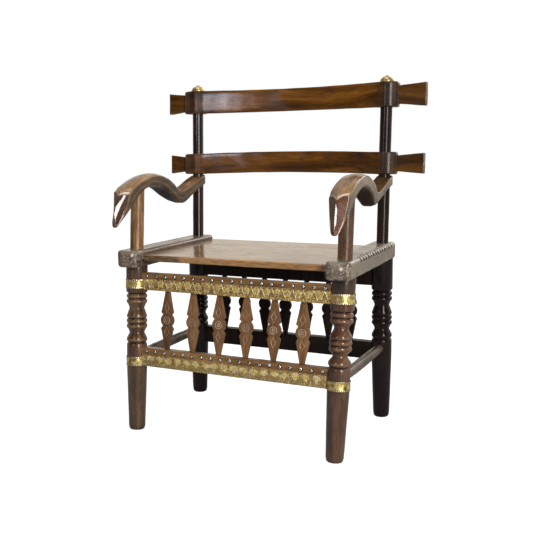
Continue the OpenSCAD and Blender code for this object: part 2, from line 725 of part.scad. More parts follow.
rail_pegs(-1);  // left_rail_pegs
rail_pegs(1);  // right_rail_pegs
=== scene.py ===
"""Carved wooden armchair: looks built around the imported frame."""
import logging
from dataclasses import dataclass, replace
from enum import Enum
from math import atan2, copysign, cos, exp, hypot, pi, radians, sin, sqrt, tan
from typing import Any, Callable, Optional, Sequence

import bmesh
import bpy
from mathutils import Matrix, Vector, noise


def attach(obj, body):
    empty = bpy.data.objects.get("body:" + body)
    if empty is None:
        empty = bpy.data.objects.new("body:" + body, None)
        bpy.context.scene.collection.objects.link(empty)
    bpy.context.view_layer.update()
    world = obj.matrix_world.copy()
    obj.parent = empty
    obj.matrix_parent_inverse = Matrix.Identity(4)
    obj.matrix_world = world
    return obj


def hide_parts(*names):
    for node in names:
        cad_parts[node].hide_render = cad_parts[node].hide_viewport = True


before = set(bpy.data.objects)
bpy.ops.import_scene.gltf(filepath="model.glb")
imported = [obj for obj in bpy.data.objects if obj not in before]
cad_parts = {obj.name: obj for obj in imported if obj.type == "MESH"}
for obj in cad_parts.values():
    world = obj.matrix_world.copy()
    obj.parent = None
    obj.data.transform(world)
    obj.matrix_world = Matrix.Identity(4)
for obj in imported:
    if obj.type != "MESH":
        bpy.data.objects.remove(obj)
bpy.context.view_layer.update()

ROOT = "root"
LOG = logging.getLogger("armchair")

# Sizes of the chair in millimetres and degrees.
RAIL_TOP, RAIL_H, RAIL_W, RAIL_X, RAIL_TOE = 434.0, 40.0, 57.5, 257.2, 1.1
FRONT_X, REAR_X, FRONT_Y, DEPTH = 258.0, 253.0, -128.974, 294.0
REAR_Y, RAIL_Y0, RAIL_LEN = FRONT_Y + DEPTH, FRONT_Y - 50.0, DEPTH + 83.0
FRONT_RAKE, BACK_LEAN, ARM_RISE = 5.0, 2.5, 162.0
UPPER_TOP, UPPER_H, LOWER_TOP, LOWER_H = 55.0, 41.0, 234.0, 43.5
NAIL_PITCH, STRIP_Y = 24.5, -12.0

Colour = tuple[float, float, float]
Spot = tuple[float, float, float]
Pair = tuple[float, float]
Row = tuple[float, ...]
Mesh = bmesh.types.BMesh
Socket = bpy.types.NodeSocket
# Tones on the meshes: wear and painted highlight, grime and painted shade, speckle, painted sheen,
# polish.
TONES = ("wear_and_highlight", "grime_and_shade", "speck", "dust", "polish")


class Side(Enum):
    """Side of the chair as seen from the front."""

    LEFT = -1
    RIGHT = 1

    @property
    def word(self) -> str:
        """Name used in node names."""
        return self.name.lower()

    def pick(self, left: Any, right: Any) -> Any:
        """The value of this side."""
        return left if self is Side.LEFT else right


class Grain(Enum):
    """World axis that the grain of a timber follows."""

    ACROSS = 0
    DEEP = 1
    UPRIGHT = 2


def clamp(value: float) -> float:
    """Value held between 0 and 1."""
    return min(1.0, max(0.0, value))


def swell(value: float, at: float, width: float) -> float:
    """Soft swelling of height 1 about a place."""
    return exp(-((value - at) / width) ** 2)


def waver(x: float, y: float, z: float) -> float:
    """Smooth noise from -1 to 1."""
    return noise.noise(Vector((x, y, z)))


def turn_by(axis: str, degrees: float) -> Matrix:
    """Rotation about a world axis."""
    return Matrix.Rotation(radians(degrees), 4, axis)


def shift(x: float, y: float, z: float) -> Matrix:
    """Translation in millimetres."""
    return Matrix.Translation((x, y, z))


# Frames with their origins at rail top height between the posts of a row.
FRONT_ROW = shift(0, FRONT_Y, RAIL_TOP) @ turn_by("X", -FRONT_RAKE)
REAR_ROW = shift(0, REAR_Y, RAIL_TOP)
BACK_ROW = REAR_ROW @ turn_by("X", -BACK_LEAN)


def beside(row: Matrix, side: Side, x: float, toe: float = 0.0) -> Matrix:
    """Frame at one side of a row, its foot turned in by toe degrees."""
    return row @ shift(side.value * x, 0, 0) @ turn_by("Y", side.value * toe)


def front_leg(side: Side) -> Matrix:
    """Frame of a front leg, z up along the leg."""
    return beside(FRONT_ROW, side, FRONT_X, 0.9)


class Graph:
    """A node tree, with short calls that add nodes."""

    def __init__(self, tree: bpy.types.NodeTree) -> None:
        """Take up a tree."""
        self.tree = tree
        self.coords = self.add("TexCoord").outputs["Object"]

    def add(self, kind: str, sockets: Optional[dict] = None, **settings: Any) -> bpy.types.Node:
        """Add a node.

        Args:
            kind: shader node type.
            sockets: input name or index to a value or an output to link.
            settings: attributes of the node.

        Returns:
            The node.
        """
        node = self.tree.nodes.new(f"ShaderNode{kind}")
        for key, value in settings.items():
            setattr(node, key, value)
        for key, value in (sockets or {}).items():
            self.feed(node.inputs[key], value)
        return node

    def feed(self, socket: Socket, value: Any) -> None:
        """Link an output to a socket, or set its value.

        Args:
            socket: where it goes.
            value: an output or a constant.
        """
        if isinstance(value, Socket):
            self.tree.links.new(value, socket)
        else:
            socket.default_value = (*value, 1.0) if socket.type == "RGBA" else value

    def noise(self, scale: Any, detail: float, rough: float, twist: float = 0.0) -> Socket:
        """Noise on Object coordinates, with one scale or one per axis.

        Args:
            scale: one for all axes, or a list with one for each.
            detail, rough, twist: settings of the texture.

        Returns:
            Its value.
        """
        vector, even = self.coords, scale
        if isinstance(scale, list):
            vector, even = self.add("Mapping", {"Vector": vector, "Scale": scale}).outputs[0], 1.0
        return self.add("TexNoise", {"Vector": vector, "Scale": even, "Detail": detail,
                                     "Roughness": rough, "Distortion": twist}).outputs[0]

    def ramp(self, fac: Socket, *stops: tuple[float, Colour]) -> Socket:
        """Colour ramp with the given stops.

        Args:
            fac: value that it is read at.
            stops: places and colours.

        Returns:
            Its colour.
        """
        node = self.add("ValToRGB", {"Fac": fac})
        marks = node.color_ramp.elements
        while len(marks) < len(stops):
            marks.new(0.5)
        for mark, (place, colour) in zip(marks, stops):
            mark.position = place
            mark.color = (*colour, 1.0)
        return node.outputs[0]

    def spread(self, fac: Socket, *ends: float) -> Socket:
        """Map a value from one range to another, 0 to 1 if not given, clamped."""
        return self.add("MapRange", dict(enumerate((fac, *ends)))).outputs[0]

    def mix(self, fac: Any, one: Any, two: Any, blend: str = "MIX") -> Socket:
        """Mix two colours."""
        return self.add("Mix", {0: fac, 6: one, 7: two}, data_type="RGBA", blend_type=blend).outputs[2]

    def math(self, kind: str, *values: Any) -> Socket:
        """Arithmetic on values."""
        return self.add("Math", dict(enumerate(values)), operation=kind).outputs[0]

    def times(self, one: Any, two: Any) -> Socket:
        """Product of two values."""
        return self.math("MULTIPLY", one, two)

    def tone(self, name: str) -> Socket:
        """Value of a mesh attribute, 0 where the mesh has none."""
        return self.add("Attribute", attribute_name=name).outputs["Fac"]

    def bump(self, height: Socket, strength: float, depth: float) -> Socket:
        """Normal of a surface with relief."""
        return self.add("Bump", {"Height": height, "Strength": strength, "Distance": depth}).outputs[0]

    def dress(self, **sockets: Any) -> None:
        """Set the Principled shader's sockets, named with _ for a space.

        Args:
            sockets: values or outputs by name.
        """
        shader = self.tree.nodes["Principled BSDF"]
        for key, value in sockets.items():
            self.feed(shader.inputs[key.replace("_", " ")], value)


class Finish:
    """A finish whose material is made once and shared."""

    made: dict = {}
    name: str

    def material(self) -> bpy.types.Material:
        """The finish as a material.

        Returns:
            The material, made when it is first asked for.
        """
        if self.name not in Finish.made:
            mat = Finish.made[self.name] = bpy.data.materials.new(self.name)
            mat.use_nodes = True
            self.paint(Graph(mat.node_tree))
        return Finish.made[self.name]

    def paint(self, graph: Graph) -> None:
        """Build the node tree."""
        raise NotImplementedError


@dataclass(frozen=True)
class Wood(Finish):
    """Old waxed hardwood with figure, pores, patina and worn places.

    Attributes:
        dark, mid, light: colours of the figure.
        grain: axis of the grain.
        patina, patina_amount: colour and strength of the broad stains.
        mottle, mottle_amount: colour and strength of the fine speckle.
        worn: colour of rubbed and cut places, and of painted highlights.
        dust: grey painted on faces in place of their sheen of the bright backdrop.
        rough: lowest and highest roughness.
        relief: strength of the bump.
        figure: size of the figure across the grain, per metre.
        gloss: specular level.
        patchy: whether the speckle lies only where the speck tone is.
    """

    name: str
    dark: Colour
    mid: Colour
    light: Colour
    grain: Grain = Grain.UPRIGHT
    patina: Colour = (0.02, 0.012, 0.008)
    patina_amount: float = 0.6
    mottle: Colour = (0.3, 0.24, 0.18)
    mottle_amount: float = 0.0
    worn: Colour = (0.5, 0.4, 0.3)
    dust: Colour = (0.2, 0.17, 0.125)
    rough: Pair = (0.24, 0.4)
    relief: float = 0.35
    figure: float = 42.0
    gloss: float = 0.25
    patchy: bool = False

    def paint(self, graph: Graph) -> None:
        """Figure along the grain, pores, stains, speckle, worn edges, grime, painted highlights, painted
        sheen and painted shade.

        Args:
            graph: the material's tree.
        """
        wide, fine = [self.figure] * 3, [self.figure * 9.0] * 3
        wide[self.grain.value], fine[self.grain.value] = self.figure * 0.11, self.figure * 0.5
        pores = graph.noise(fine, 3.0, 0.6, 0.2)
        stain = graph.noise(15.0, 5.0, 0.62, 0.3)
        speck = graph.noise(380.0, 3.0, 0.6)
        colour = graph.ramp(graph.noise(wide, 5.0, 0.6, 0.9), (0.32, self.dark), (0.5, self.mid),
                            (0.68, self.light))
        shades = graph.ramp(pores, (0.34, (0.62, 0.58, 0.55)), (0.6, (1.08, 1.08, 1.08)))
        colour = graph.mix(0.8, colour, shades, "MULTIPLY")
        colour = graph.mix(graph.spread(stain, 0.5, 0.68, 0.0, self.patina_amount), colour, self.patina)
        if self.mottle_amount:
            cloud = graph.spread(graph.noise(75.0, 4.0, 0.7), 0.34, 0.52)
            if self.patchy:
                cloud = graph.times(cloud, graph.tone("speck"))
            fac = graph.times(graph.spread(speck, 0.47, 0.62, 0.0, self.mottle_amount), cloud)
            colour = graph.mix(fac, colour, self.mottle)
        # Painted sheen first, then wear and painted highlights in the worn colour, then grime and
        # painted shade in near black.
        sheen_amount = graph.times(graph.tone("dust"), graph.spread(pores, 0.3, 0.62, 0.6, 1.0))
        for amount, coat in ((sheen_amount, self.dust), (graph.tone("wear_and_highlight"), self.worn),
                             (graph.tone("grime_and_shade"), (0.012, 0.008, 0.006))):
            colour = graph.mix(amount, colour, coat)
        grit = 0.25 + self.mottle_amount * 0.6
        height = graph.math("MULTIPLY_ADD", speck, grit, graph.times(pores, 0.5))
        height = graph.math("MULTIPLY_ADD", stain, 0.8, height)
        dull = graph.math("MULTIPLY_ADD", graph.tone("polish"), -0.5, 1.0)
        graph.dress(Base_Color=colour, Specular_IOR_Level=self.gloss,
                    Roughness=graph.times(graph.spread(stain, 0.35, 0.65, *self.rough), dull),
                    Normal=graph.bump(height, self.relief, 0.0006))


@dataclass(frozen=True)
class Brass(Finish):
    """Hammered sheet brass with tarnish in its hollows.

    Attributes:
        bright, dull: colours of rubbed metal and of tarnish.
        deep: colour of dirt in the hollows.
        metal: how metallic it is.
        rough: lowest and highest roughness.
        rubbed: colour of the high lines.
    """

    name: str
    bright: Colour
    dull: Colour
    deep: Colour
    metal: float = 0.9
    rough: Pair = (0.28, 0.45)
    rubbed: Colour = (0.95, 0.88, 0.62)

    def paint(self, graph: Graph) -> None:
        """Bright metal mottled with tarnish, dark where the relief is low.

        Args:
            graph: the material's tree.
        """
        cloud, fine = graph.noise(90.0, 4.0, 0.65, 0.4), graph.noise(420.0, 3.0, 0.6)
        colour = graph.ramp(cloud, (0.38, self.dull), (0.58, self.bright))
        for amount, coat in ((graph.spread(fine, 0.5, 0.7, 0.0, 0.45), self.dull),
                             (graph.tone("grime_and_shade"), self.deep), (graph.tone("wear_and_highlight"), self.rubbed)):
            colour = graph.mix(amount, colour, coat)
        graph.dress(Base_Color=colour, Metallic=self.metal,
                    Roughness=graph.spread(cloud, 0.3, 0.7, *self.rough),
                    Normal=graph.bump(graph.math("ADD", fine, cloud), 0.3, 0.0004))


@dataclass(frozen=True)
class Steel(Finish):
    """Domed nail heads of tinned steel."""

    name: str = "tinned_steel"

    def paint(self, graph: Graph) -> None:
        """Grey metal with small dull spots.

        Args:
            graph: the material's tree.
        """
        spots = graph.noise(500.0, 3.0, 0.6)
        graph.dress(Base_Color=graph.ramp(spots, (0.38, (0.25, 0.24, 0.24)), (0.6, (0.72, 0.71, 0.7))),
                    Metallic=1.0, Roughness=graph.spread(spots, 0.3, 0.7, 0.26, 0.16),
                    Normal=graph.bump(spots, 0.12, 0.0003))


TURNED_LEFT = Wood("left_turned_wood", (0.035, 0.017, 0.009), (0.1, 0.05, 0.024),
                   (0.22, 0.12, 0.055), mottle_amount=0.3, mottle=(0.2, 0.15, 0.1), patchy=True,
                   worn=(0.4, 0.24, 0.1), rough=(0.14, 0.26), relief=0.12, gloss=0.5)
TURNED_RIGHT = replace(TURNED_LEFT, name="right_turned_wood", dark=(0.03, 0.012, 0.007),
                       mid=(0.1, 0.045, 0.024), light=(0.2, 0.1, 0.05), mottle_amount=0.2,
                       mottle=(0.17, 0.11, 0.07), worn=(0.34, 0.19, 0.1), rough=(0.12, 0.24))
TURNED_DARK = Wood("turned_dark_wood", (0.005, 0.003, 0.003), (0.01, 0.006, 0.006),
                   (0.02, 0.011, 0.009), gloss=0.2, rough=(0.12, 0.2), relief=0.12,
                   worn=(0.02, 0.012, 0.01))
POST_LEFT = Wood("left_post_wood", (0.11, 0.052, 0.02), (0.25, 0.13, 0.052), (0.38, 0.22, 0.1),
                 rough=(0.2, 0.32), relief=0.2, gloss=0.32)
POST_RIGHT = Wood("right_post_wood", (0.03, 0.012, 0.006), (0.09, 0.04, 0.018), (0.2, 0.09, 0.042),
                  rough=(0.24, 0.38), relief=0.25, gloss=0.28, mottle_amount=0.25)
POST_DARK = Wood("back_post_wood", (0.007, 0.004, 0.003), (0.018, 0.01, 0.008),
                 (0.036, 0.018, 0.013), rough=(0.14, 0.22), relief=0.15, gloss=0.4)
POST_DULL = replace(POST_DARK, name="dull_post_wood", rough=(0.16, 0.26), gloss=0.18)
ARM_WOOD = Wood("arm_wood", (0.08, 0.038, 0.015), (0.21, 0.108, 0.042), (0.38, 0.21, 0.09),
                grain=Grain.DEEP, patina=(0.05, 0.024, 0.012), worn=(0.62, 0.52, 0.42),
                rough=(0.16, 0.28), relief=0.15, gloss=0.35)
HEAD_WOOD = Wood("head_wood", (0.04, 0.015, 0.01), (0.12, 0.05, 0.03), (0.25, 0.12, 0.075),
                 patina=(0.04, 0.018, 0.012), worn=(0.62, 0.52, 0.42), rough=(0.14, 0.24),
                 relief=0.12, gloss=0.7, mottle=(0.34, 0.22, 0.16), mottle_amount=0.45)
SLAT_WOOD = Wood("slat_wood", (0.045, 0.016, 0.002), (0.125, 0.044, 0.004), (0.22, 0.088, 0.012),
                 grain=Grain.ACROSS, patina=(0.035, 0.014, 0.004), figure=36.0,
                 rough=(0.15, 0.23), relief=0.12, gloss=0.42)
# Rail wood: its worn colour is pale enough to paint the highlight spot on each front end, and its sheen
# colour paints grey sheen on tops and sides.
RAIL_WOOD = Wood("rail_wood", (0.045, 0.024, 0.014), (0.11, 0.06, 0.033), (0.19, 0.105, 0.06),
                 grain=Grain.DEEP, mottle=(0.5, 0.46, 0.38), mottle_amount=0.9, rough=(0.2, 0.34),
                 worn=(0.85, 0.82, 0.78), dust=(0.24, 0.2, 0.14), relief=0.22, gloss=0.5,
                 patchy=True)
SEAT_WOOD = Wood("seat_wood", (0.14, 0.08, 0.036), (0.27, 0.165, 0.085), (0.38, 0.25, 0.14),
                 grain=Grain.ACROSS, patina=(0.11, 0.06, 0.03), patina_amount=0.4,
                 rough=(0.13, 0.22), relief=0.1, worn=(0.55, 0.27, 0.09), mottle_amount=0.6,
                 mottle=(0.5, 0.42, 0.3), gloss=0.3, patchy=True)
CROSS_WOOD = Wood("cross_wood", (0.12, 0.06, 0.02), (0.22, 0.115, 0.04), (0.32, 0.18, 0.07),
                  grain=Grain.ACROSS, patina=(0.08, 0.04, 0.018), patina_amount=0.4)
SPLAT_WOOD = Wood("splat_wood", (0.12, 0.058, 0.024), (0.2, 0.1, 0.04), (0.29, 0.15, 0.066),
                  patina=(0.07, 0.035, 0.02), patina_amount=0.35, relief=0.2)
REAR_WOOD = Wood("rear_wood", (0.006, 0.003, 0.003), (0.013, 0.007, 0.006), (0.026, 0.013, 0.01),
                 gloss=0.12, rough=(0.3, 0.45))
STRETCHER_WOOD = Wood("stretcher_wood", (0.06, 0.042, 0.03), (0.11, 0.08, 0.06), (0.19, 0.14, 0.1),
                      grain=Grain.DEEP)
STRIP_BRASS = Brass("embossed_brass", (0.86, 0.68, 0.2), (0.5, 0.35, 0.11), (0.19, 0.105, 0.055),
                    metal=0.5, rough=(0.3, 0.45), rubbed=(0.85, 0.76, 0.5))
BAND_BRASS = Brass("band_brass", (0.95, 0.76, 0.32), (0.5, 0.34, 0.1), (0.12, 0.065, 0.02),
                   rough=(0.24, 0.4))
CAP_BRASS = Brass("cap_brass", (0.55, 0.42, 0.18), (0.28, 0.19, 0.08), (0.1, 0.06, 0.03))
NAIL_STEEL = Steel()


def line_at(points: Sequence[Row], key: float) -> Row:
    """Smooth curve through points.

    Args:
        points: rows of a rising key followed by values.
        key: where to read the curve.

    Returns:
        The values at the key.
    """
    last, i = len(points) - 1, 0
    while i < last - 1 and key > points[i + 1][0]:
        i += 1
    a, b, before, after = points[i], points[i + 1], points[max(0, i - 1)], points[min(last, i + 2)]
    span = b[0] - a[0]
    t = clamp((key - a[0]) / span)
    out = []
    for k in range(1, len(a)):
        m0 = (b[k] - before[k]) / max(1e-6, b[0] - before[0]) * span
        m1 = (after[k] - a[k]) / max(1e-6, after[0] - a[0]) * span
        out.append((2 * t**3 - 3 * t**2 + 1) * a[k] + (t**3 - 2 * t**2 + t) * m0
                   + (3 * t**2 - 2 * t**3) * b[k] + (t**3 - t**2) * m1)
    return tuple(out)


def denser(rows: Sequence[Row], parts: int) -> list[Row]:
    """Rows with more rows between them on a smooth curve through all their values."""
    keyed = [(float(i), *row) for i, row in enumerate(rows)]
    return [line_at(keyed, i / parts) for i in range((len(rows) - 1) * parts + 1)]


def rounded_ring(a0: float, a1: float, b0: float, b1: float, r: float, flat: int,
                 arc: int) -> list[Pair]:
    """Points round a rectangle with rounded corners.

    Args:
        a0, a1, b0, b1: extent on the first axis and on the second.
        r: corner radius.
        flat, arc: steps on each straight side and on each corner.

    Returns:
        The ring from the low corner, going up the second axis last.
    """
    r = max(0.01, min(r, (a1 - a0) / 2 - 0.01, (b1 - b0) / 2 - 0.01))
    corners = [[(a + r * cos(t), b + r * sin(t)) for t in
                (radians(start + 90 * i / arc) for i in range(arc + 1))]
               for a, b, start in ((a1 - r, b0 + r, -90), (a1 - r, b1 - r, 0), (a0 + r, b1 - r, 90),
                                   (a0 + r, b0 + r, 180))]
    ring: list[Pair] = []
    for corner, following in zip(corners, corners[1:] + corners[:1]):
        (x0, y0), (x1, y1) = corner[-1], following[0]
        ring += corner + [(x0 + (x1 - x0) * i / flat, y0 + (y1 - y0) * i / flat)
                          for i in range(1, flat)]
    return ring


def tone_layers(bm: Mesh) -> list:
    """New layers for the tones of a mesh."""
    return [bm.verts.layers.float.new(name) for name in TONES]


def skin(rows: Sequence[Sequence[Spot]], tones: Optional[Sequence] = None, caps: bool = True) -> Mesh:
    """Bend a grid over rows of points.

    Args:
        rows: rows of equal length, each once round the section.
        tones: for each point its tones, in the order of TONES, or None.
        caps: whether the open ends are filled.

    Returns:
        The mesh, in millimetres.
    """
    across, up = len(rows[0]), len(rows) - 1
    bm = bmesh.new()
    layers = tone_layers(bm)
    bmesh.ops.create_grid(bm, x_segments=across, y_segments=up, size=1.0)
    for vert in bm.verts:
        j, i = round((vert.co.x + 1) / 2 * across) % across, round((vert.co.y + 1) / 2 * up)
        vert.co = rows[i][j]
        for layer, value in zip(layers, tones[i][j] if tones else ()):
            vert[layer] = value
    bmesh.ops.remove_doubles(bm, verts=bm.verts, dist=1e-3)
    if caps:
        bmesh.ops.holes_fill(bm, edges=[e for e in bm.edges if e.is_boundary], sides=0)
    return bm


def turned(profile: Sequence[Pair], steps: int = 72) -> Mesh:
    """Spin a profile of radius and height about z.

    Args:
        profile: radii and heights.
        steps: sides of the turned form.

    Returns:
        The mesh, in millimetres.
    """
    bm = bmesh.new()
    verts = [bm.verts.new((r, 0, z)) for r, z in profile]
    edges = [bm.edges.new(pair) for pair in zip(verts, verts[1:])]
    bmesh.ops.spin(bm, geom=verts + edges, cent=(0, 0, 0), axis=(0, 0, 1), angle=2 * pi,
                   steps=steps, use_merge=True, use_duplicate=False)
    bmesh.ops.remove_doubles(bm, verts=bm.verts, dist=1e-3)
    return bm


def toned(bm: Mesh, tone: Callable[[Vector], Row]) -> None:
    """Give each point of a mesh its tones, in the order of TONES.

    Args:
        bm: the mesh.
        tone: gives the tones at a point.
    """
    layers = tone_layers(bm)
    for vert in bm.verts:
        for layer, value in zip(layers, tone(vert.co)):
            vert[layer] = value


def hand_worked(bm: Mesh, amount: float, size: float, seed: float) -> Mesh:
    """Push a surface in and out a little, as hand tools leave it.

    Args:
        bm: the mesh, in millimetres.
        amount: furthest push.
        size: distance between high spots.
        seed: shifts the pattern.

    Returns:
        The same mesh.
    """
    bm.normal_update()
    for vert in bm.verts:
        place = vert.co / size + Vector((seed, seed * 1.7, -seed))
        vert.co += vert.normal * (noise.noise(place) * amount)
    return bm


def join(whole: Mesh, other: Mesh) -> None:
    """Add one mesh to another and free it.

    Args:
        whole: the mesh that grows.
        other: the mesh that is added.
    """
    holder = bpy.data.meshes.new("joining")
    other.to_mesh(holder)
    other.free()
    whole.from_mesh(holder)
    bpy.data.meshes.remove(holder)


def linked(name: str, data: bpy.types.ID) -> bpy.types.Object:
    """A new object in the scene.

    Args:
        name: its name.
        data: its mesh, lamp or camera.

    Returns:
        The object.
    """
    thing = bpy.data.objects.new(name, data)
    bpy.context.scene.collection.objects.link(thing)
    return thing


def solid(name: str, bm: Mesh) -> bpy.types.Object:
    """A mesh as a new object, the bmesh freed.

    Args:
        name: name of the object and its mesh.
        bm: the mesh.

    Returns:
        The object.
    """
    mesh = bpy.data.meshes.new(name)
    bm.to_mesh(mesh)
    bm.free()
    return linked(name, mesh)


class Part:
    """A sub-assembly that hands its meshes over as dressed pieces."""

    @staticmethod
    def hand_over(bm: Mesh, node: str, word: str, slot: str, finish: Finish,
                  place: Matrix = Matrix.Identity(4), sharp: float = 40.0,
                  extra: Optional[Finish] = None) -> None:
        """Put a mesh in its place on the chair, as the piece that stands for a node.

        Args:
            bm: the mesh in millimetres, in the frame of place.
            node: the node.
            word: what the piece's name adds to the node's.
            slot: not used.
            finish: its finish.
            place: frame in millimetres.
            sharp: angle in degrees past which an edge stays crisp.
            extra: finish of faces with material index 1.
        """
        bm.transform(Matrix.Scale(0.001, 4) @ place)
        bmesh.ops.recalc_face_normals(bm, faces=bm.faces)
        for face in bm.faces:
            face.smooth = True
        piece = solid(f"{node}_{word}", bm)
        piece.data.set_sharp_from_angle(angle=radians(sharp))
        for coat in (finish, extra) if extra else (finish,):
            piece.data.materials.append(coat.material())
        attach(piece, ROOT)
        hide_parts(node)
        LOG.info("%s: %d faces for %s", piece.name, len(piece.data.polygons), node)


@dataclass
class Legs(Part):
    """The four turned legs.

    Attributes:
        leg_r, bead_r, groove_r, shank_r, foot_r: radii from the top down.
        first_groove: depth of the first groove below the rail top, before each leg's own drop.
        shank_from: where the shank starts below the first groove.
        front_lean, rear_lean: slope of a front and a rear leg, in degrees.
        grooves, crests: where they lie below the first groove.
    """

    leg_r: float = 25.5
    bead_r: float = 24.7
    groove_r: float = 21.0
    shank_r: float = 24.2
    foot_r: float = 19.8
    first_groove: float = RAIL_H + 64.5
    shank_from: float = 128.0
    front_lean: float = 5.08
    rear_lean: float = 0.6
    grooves: Row = (3.9, 16.8, 63.6, 76.3, 121.9)
    crests: Row = (10.5, 23.0, 59.0, 70.0, 82.5, 114.6)

    def bead(self, s: float, half: float, low: float) -> list[Pair]:
        """One bead from its upper groove to its lower groove."""
        return [(low + (self.bead_r - low) * sin(pi * i / 12) ** 0.7, s - half + half * i / 6)
                for i in range(13)]

    def profile(self, neck: float, g: float, foot: float) -> list[Pair]:
        """Radius and height of a leg.

        Args:
            neck: radius of the two necks.
            g: depth of the first groove below the rail top.
            foot: depth of the floor below the rail top.

        Returns:
            The profile from its top to its sole.
        """
        gr, br, lr, sr, fr = self.groove_r, self.bead_r, self.leg_r, self.shank_r, self.foot_r
        turning = [(lr, -0.8), (lr - 0.5, 0), (gr + 0.5, 3.5), *self.bead(10.5, 6, gr),
                   *self.bead(23, 6, gr + 0.5), (gr, 29.5), (neck + 2.4, 33.2), (neck + 0.9, 36),
                   (neck, 39), (neck + 0.9, 42), (neck + 2.4, 45.2), (br - 2.2, 53), (br - 1.0, 56),
                   (br - 0.4, 59), (br - 1.0, 61.4), (gr + 0.5, 63.5), *self.bead(70, 6.2, gr + 0.5),
                   *self.bead(82.5, 6.2, gr + 0.5), (gr, 89.3), (neck + 2.3, 92.6), (neck + 0.9, 95),
                   (neck + 0.2, 98), (neck + 1.1, 101), (neck + 2.9, 103.6), (lr - 2.4, 109.3),
                   (lr - 1.2, 112), (lr - 0.8, 114.8), (lr - 1.5, 118), (gr, 122), (sr - 0.4, 125),
                   (sr, self.shank_from)]
        rows = [(0, RAIL_H - 2), (lr, RAIL_H - 2)] + [(r, g + s) for r, s in turning]
        start = g + self.shank_from
        for k in range(1, 25):
            z = start + (foot - 10 - start) * k / 24
            fall = clamp((z - RAIL_TOP * 0.65) / (RAIL_TOP * 0.35 - 10))
            rows.append((sr + (fr - sr) * fall ** 1.05, z))
        rows += [(fr - 1.0, foot - 4.0), (fr - 2.0, foot - 1.5), (fr - 3.4, foot), (0, foot)]
        return [(r, -z) for r, z in rows]

    def tone(self, g: float, spot: Vector) -> Row:
        """Painted shade in the grooves and under the rail, crests paler as worn wood and painted
        highlight, and a speckled shank.

        Args:
            g: depth of the first groove below the rail top.
            spot: a point of the leg in its own frame.

        Returns:
            Its tones.
        """
        s = -spot.z - g
        patch = 0.5 + 0.8 * waver(spot.x * 0.09, spot.y * 0.09, s * 0.3)
        # Crests paler, as rubbed wood and as painted highlight.
        rub = max(swell(s, at, 2.0) for at in self.crests)
        # Painted shade in the grooves and on the top of the leg under the rail; the shank a little
        # darker.
        dirt_and_shade = max(swell(s, at, 1.2) for at in self.grooves)
        dirt_and_shade = max(0.95 * dirt_and_shade, 0.62 * (s < -32), 0.2 * clamp((s - self.shank_from) / 20))
        return (0.6 * rub * max(0.0, patch), dirt_and_shade, clamp((s - self.shank_from) / 30))

    def build(self) -> None:
        """Make and dress the four legs, with their soles on the floor."""
        jobs = [(Side.LEFT, "front", 17.6, -2.5), (Side.RIGHT, "front", 15.4, 2.5),
                (Side.LEFT, "rear", 17.6, 8.0), (Side.RIGHT, "rear", 17.6, 8.0)]
        for seed, (side, row, neck, drop) in enumerate(jobs):
            front, g = row == "front", self.first_groove + drop
            lean = self.front_lean if front else self.rear_lean
            bm = turned(self.profile(neck, g, RAIL_TOP / cos(radians(lean))))
            toned(bm, lambda spot, g=g: self.tone(g, spot))
            hand_worked(bm, 0.3, 38.0, seed * 7.3)
            bm.transform(front_leg(side) if front else beside(REAR_ROW, side, REAR_X, -lean))
            lowest = [v for v in bm.verts if v.co.z < 3.0]
            base = max(0.0, min(v.co.z for v in lowest))
            for vert in lowest:
                vert.co.z = max(0.0, vert.co.z - base)
            finish = side.pick(TURNED_LEFT, TURNED_RIGHT) if front else TURNED_DARK
            self.hand_over(bm, f"{row}_{side.word}_leg", "turned", "turned_wood", finish)


@dataclass
class Posts(Part):
    """Arm posts and back posts: plain round sticks."""

    arm_post_r: float = 16.0
    arm_post_top: float = 153.0
    back_post_r: float = 14.0
    back_post_top: float = 377.5

    def stick(self, radius: float, top: float) -> Mesh:
        """A round stick from just under the rail top.

        Args:
            radius: its radius.
            top: height of its top end.

        Returns:
            The stick, upright.
        """
        shaft = [(radius, -8 + (top + 8) * i / 40) for i in range(40)]
        return turned([(0, -10), (radius, -10), *shaft, (radius, top - 0.6), (radius - 0.6, top),
                       (0, top)], 56)

    def build(self) -> None:
        """Make and dress the four posts."""
        for side in Side:
            arm_post = self.stick(self.arm_post_r, self.arm_post_top)
            self.hand_over(hand_worked(arm_post, 0.35, 30.0, side.value * 3.1),
                           f"front_{side.word}_post", "stick", "turned_wood",
                           side.pick(POST_LEFT, POST_RIGHT), beside(FRONT_ROW, side, FRONT_X))
            back_post = self.stick(self.back_post_r, self.back_post_top)
            self.hand_over(hand_worked(back_post, 0.3, 34.0, side.value * 5.3),
                           f"rear_{side.word}_post", "stick", "turned_wood",
                           side.pick(POST_DARK, POST_DULL), beside(BACK_ROW, side, REAR_X))


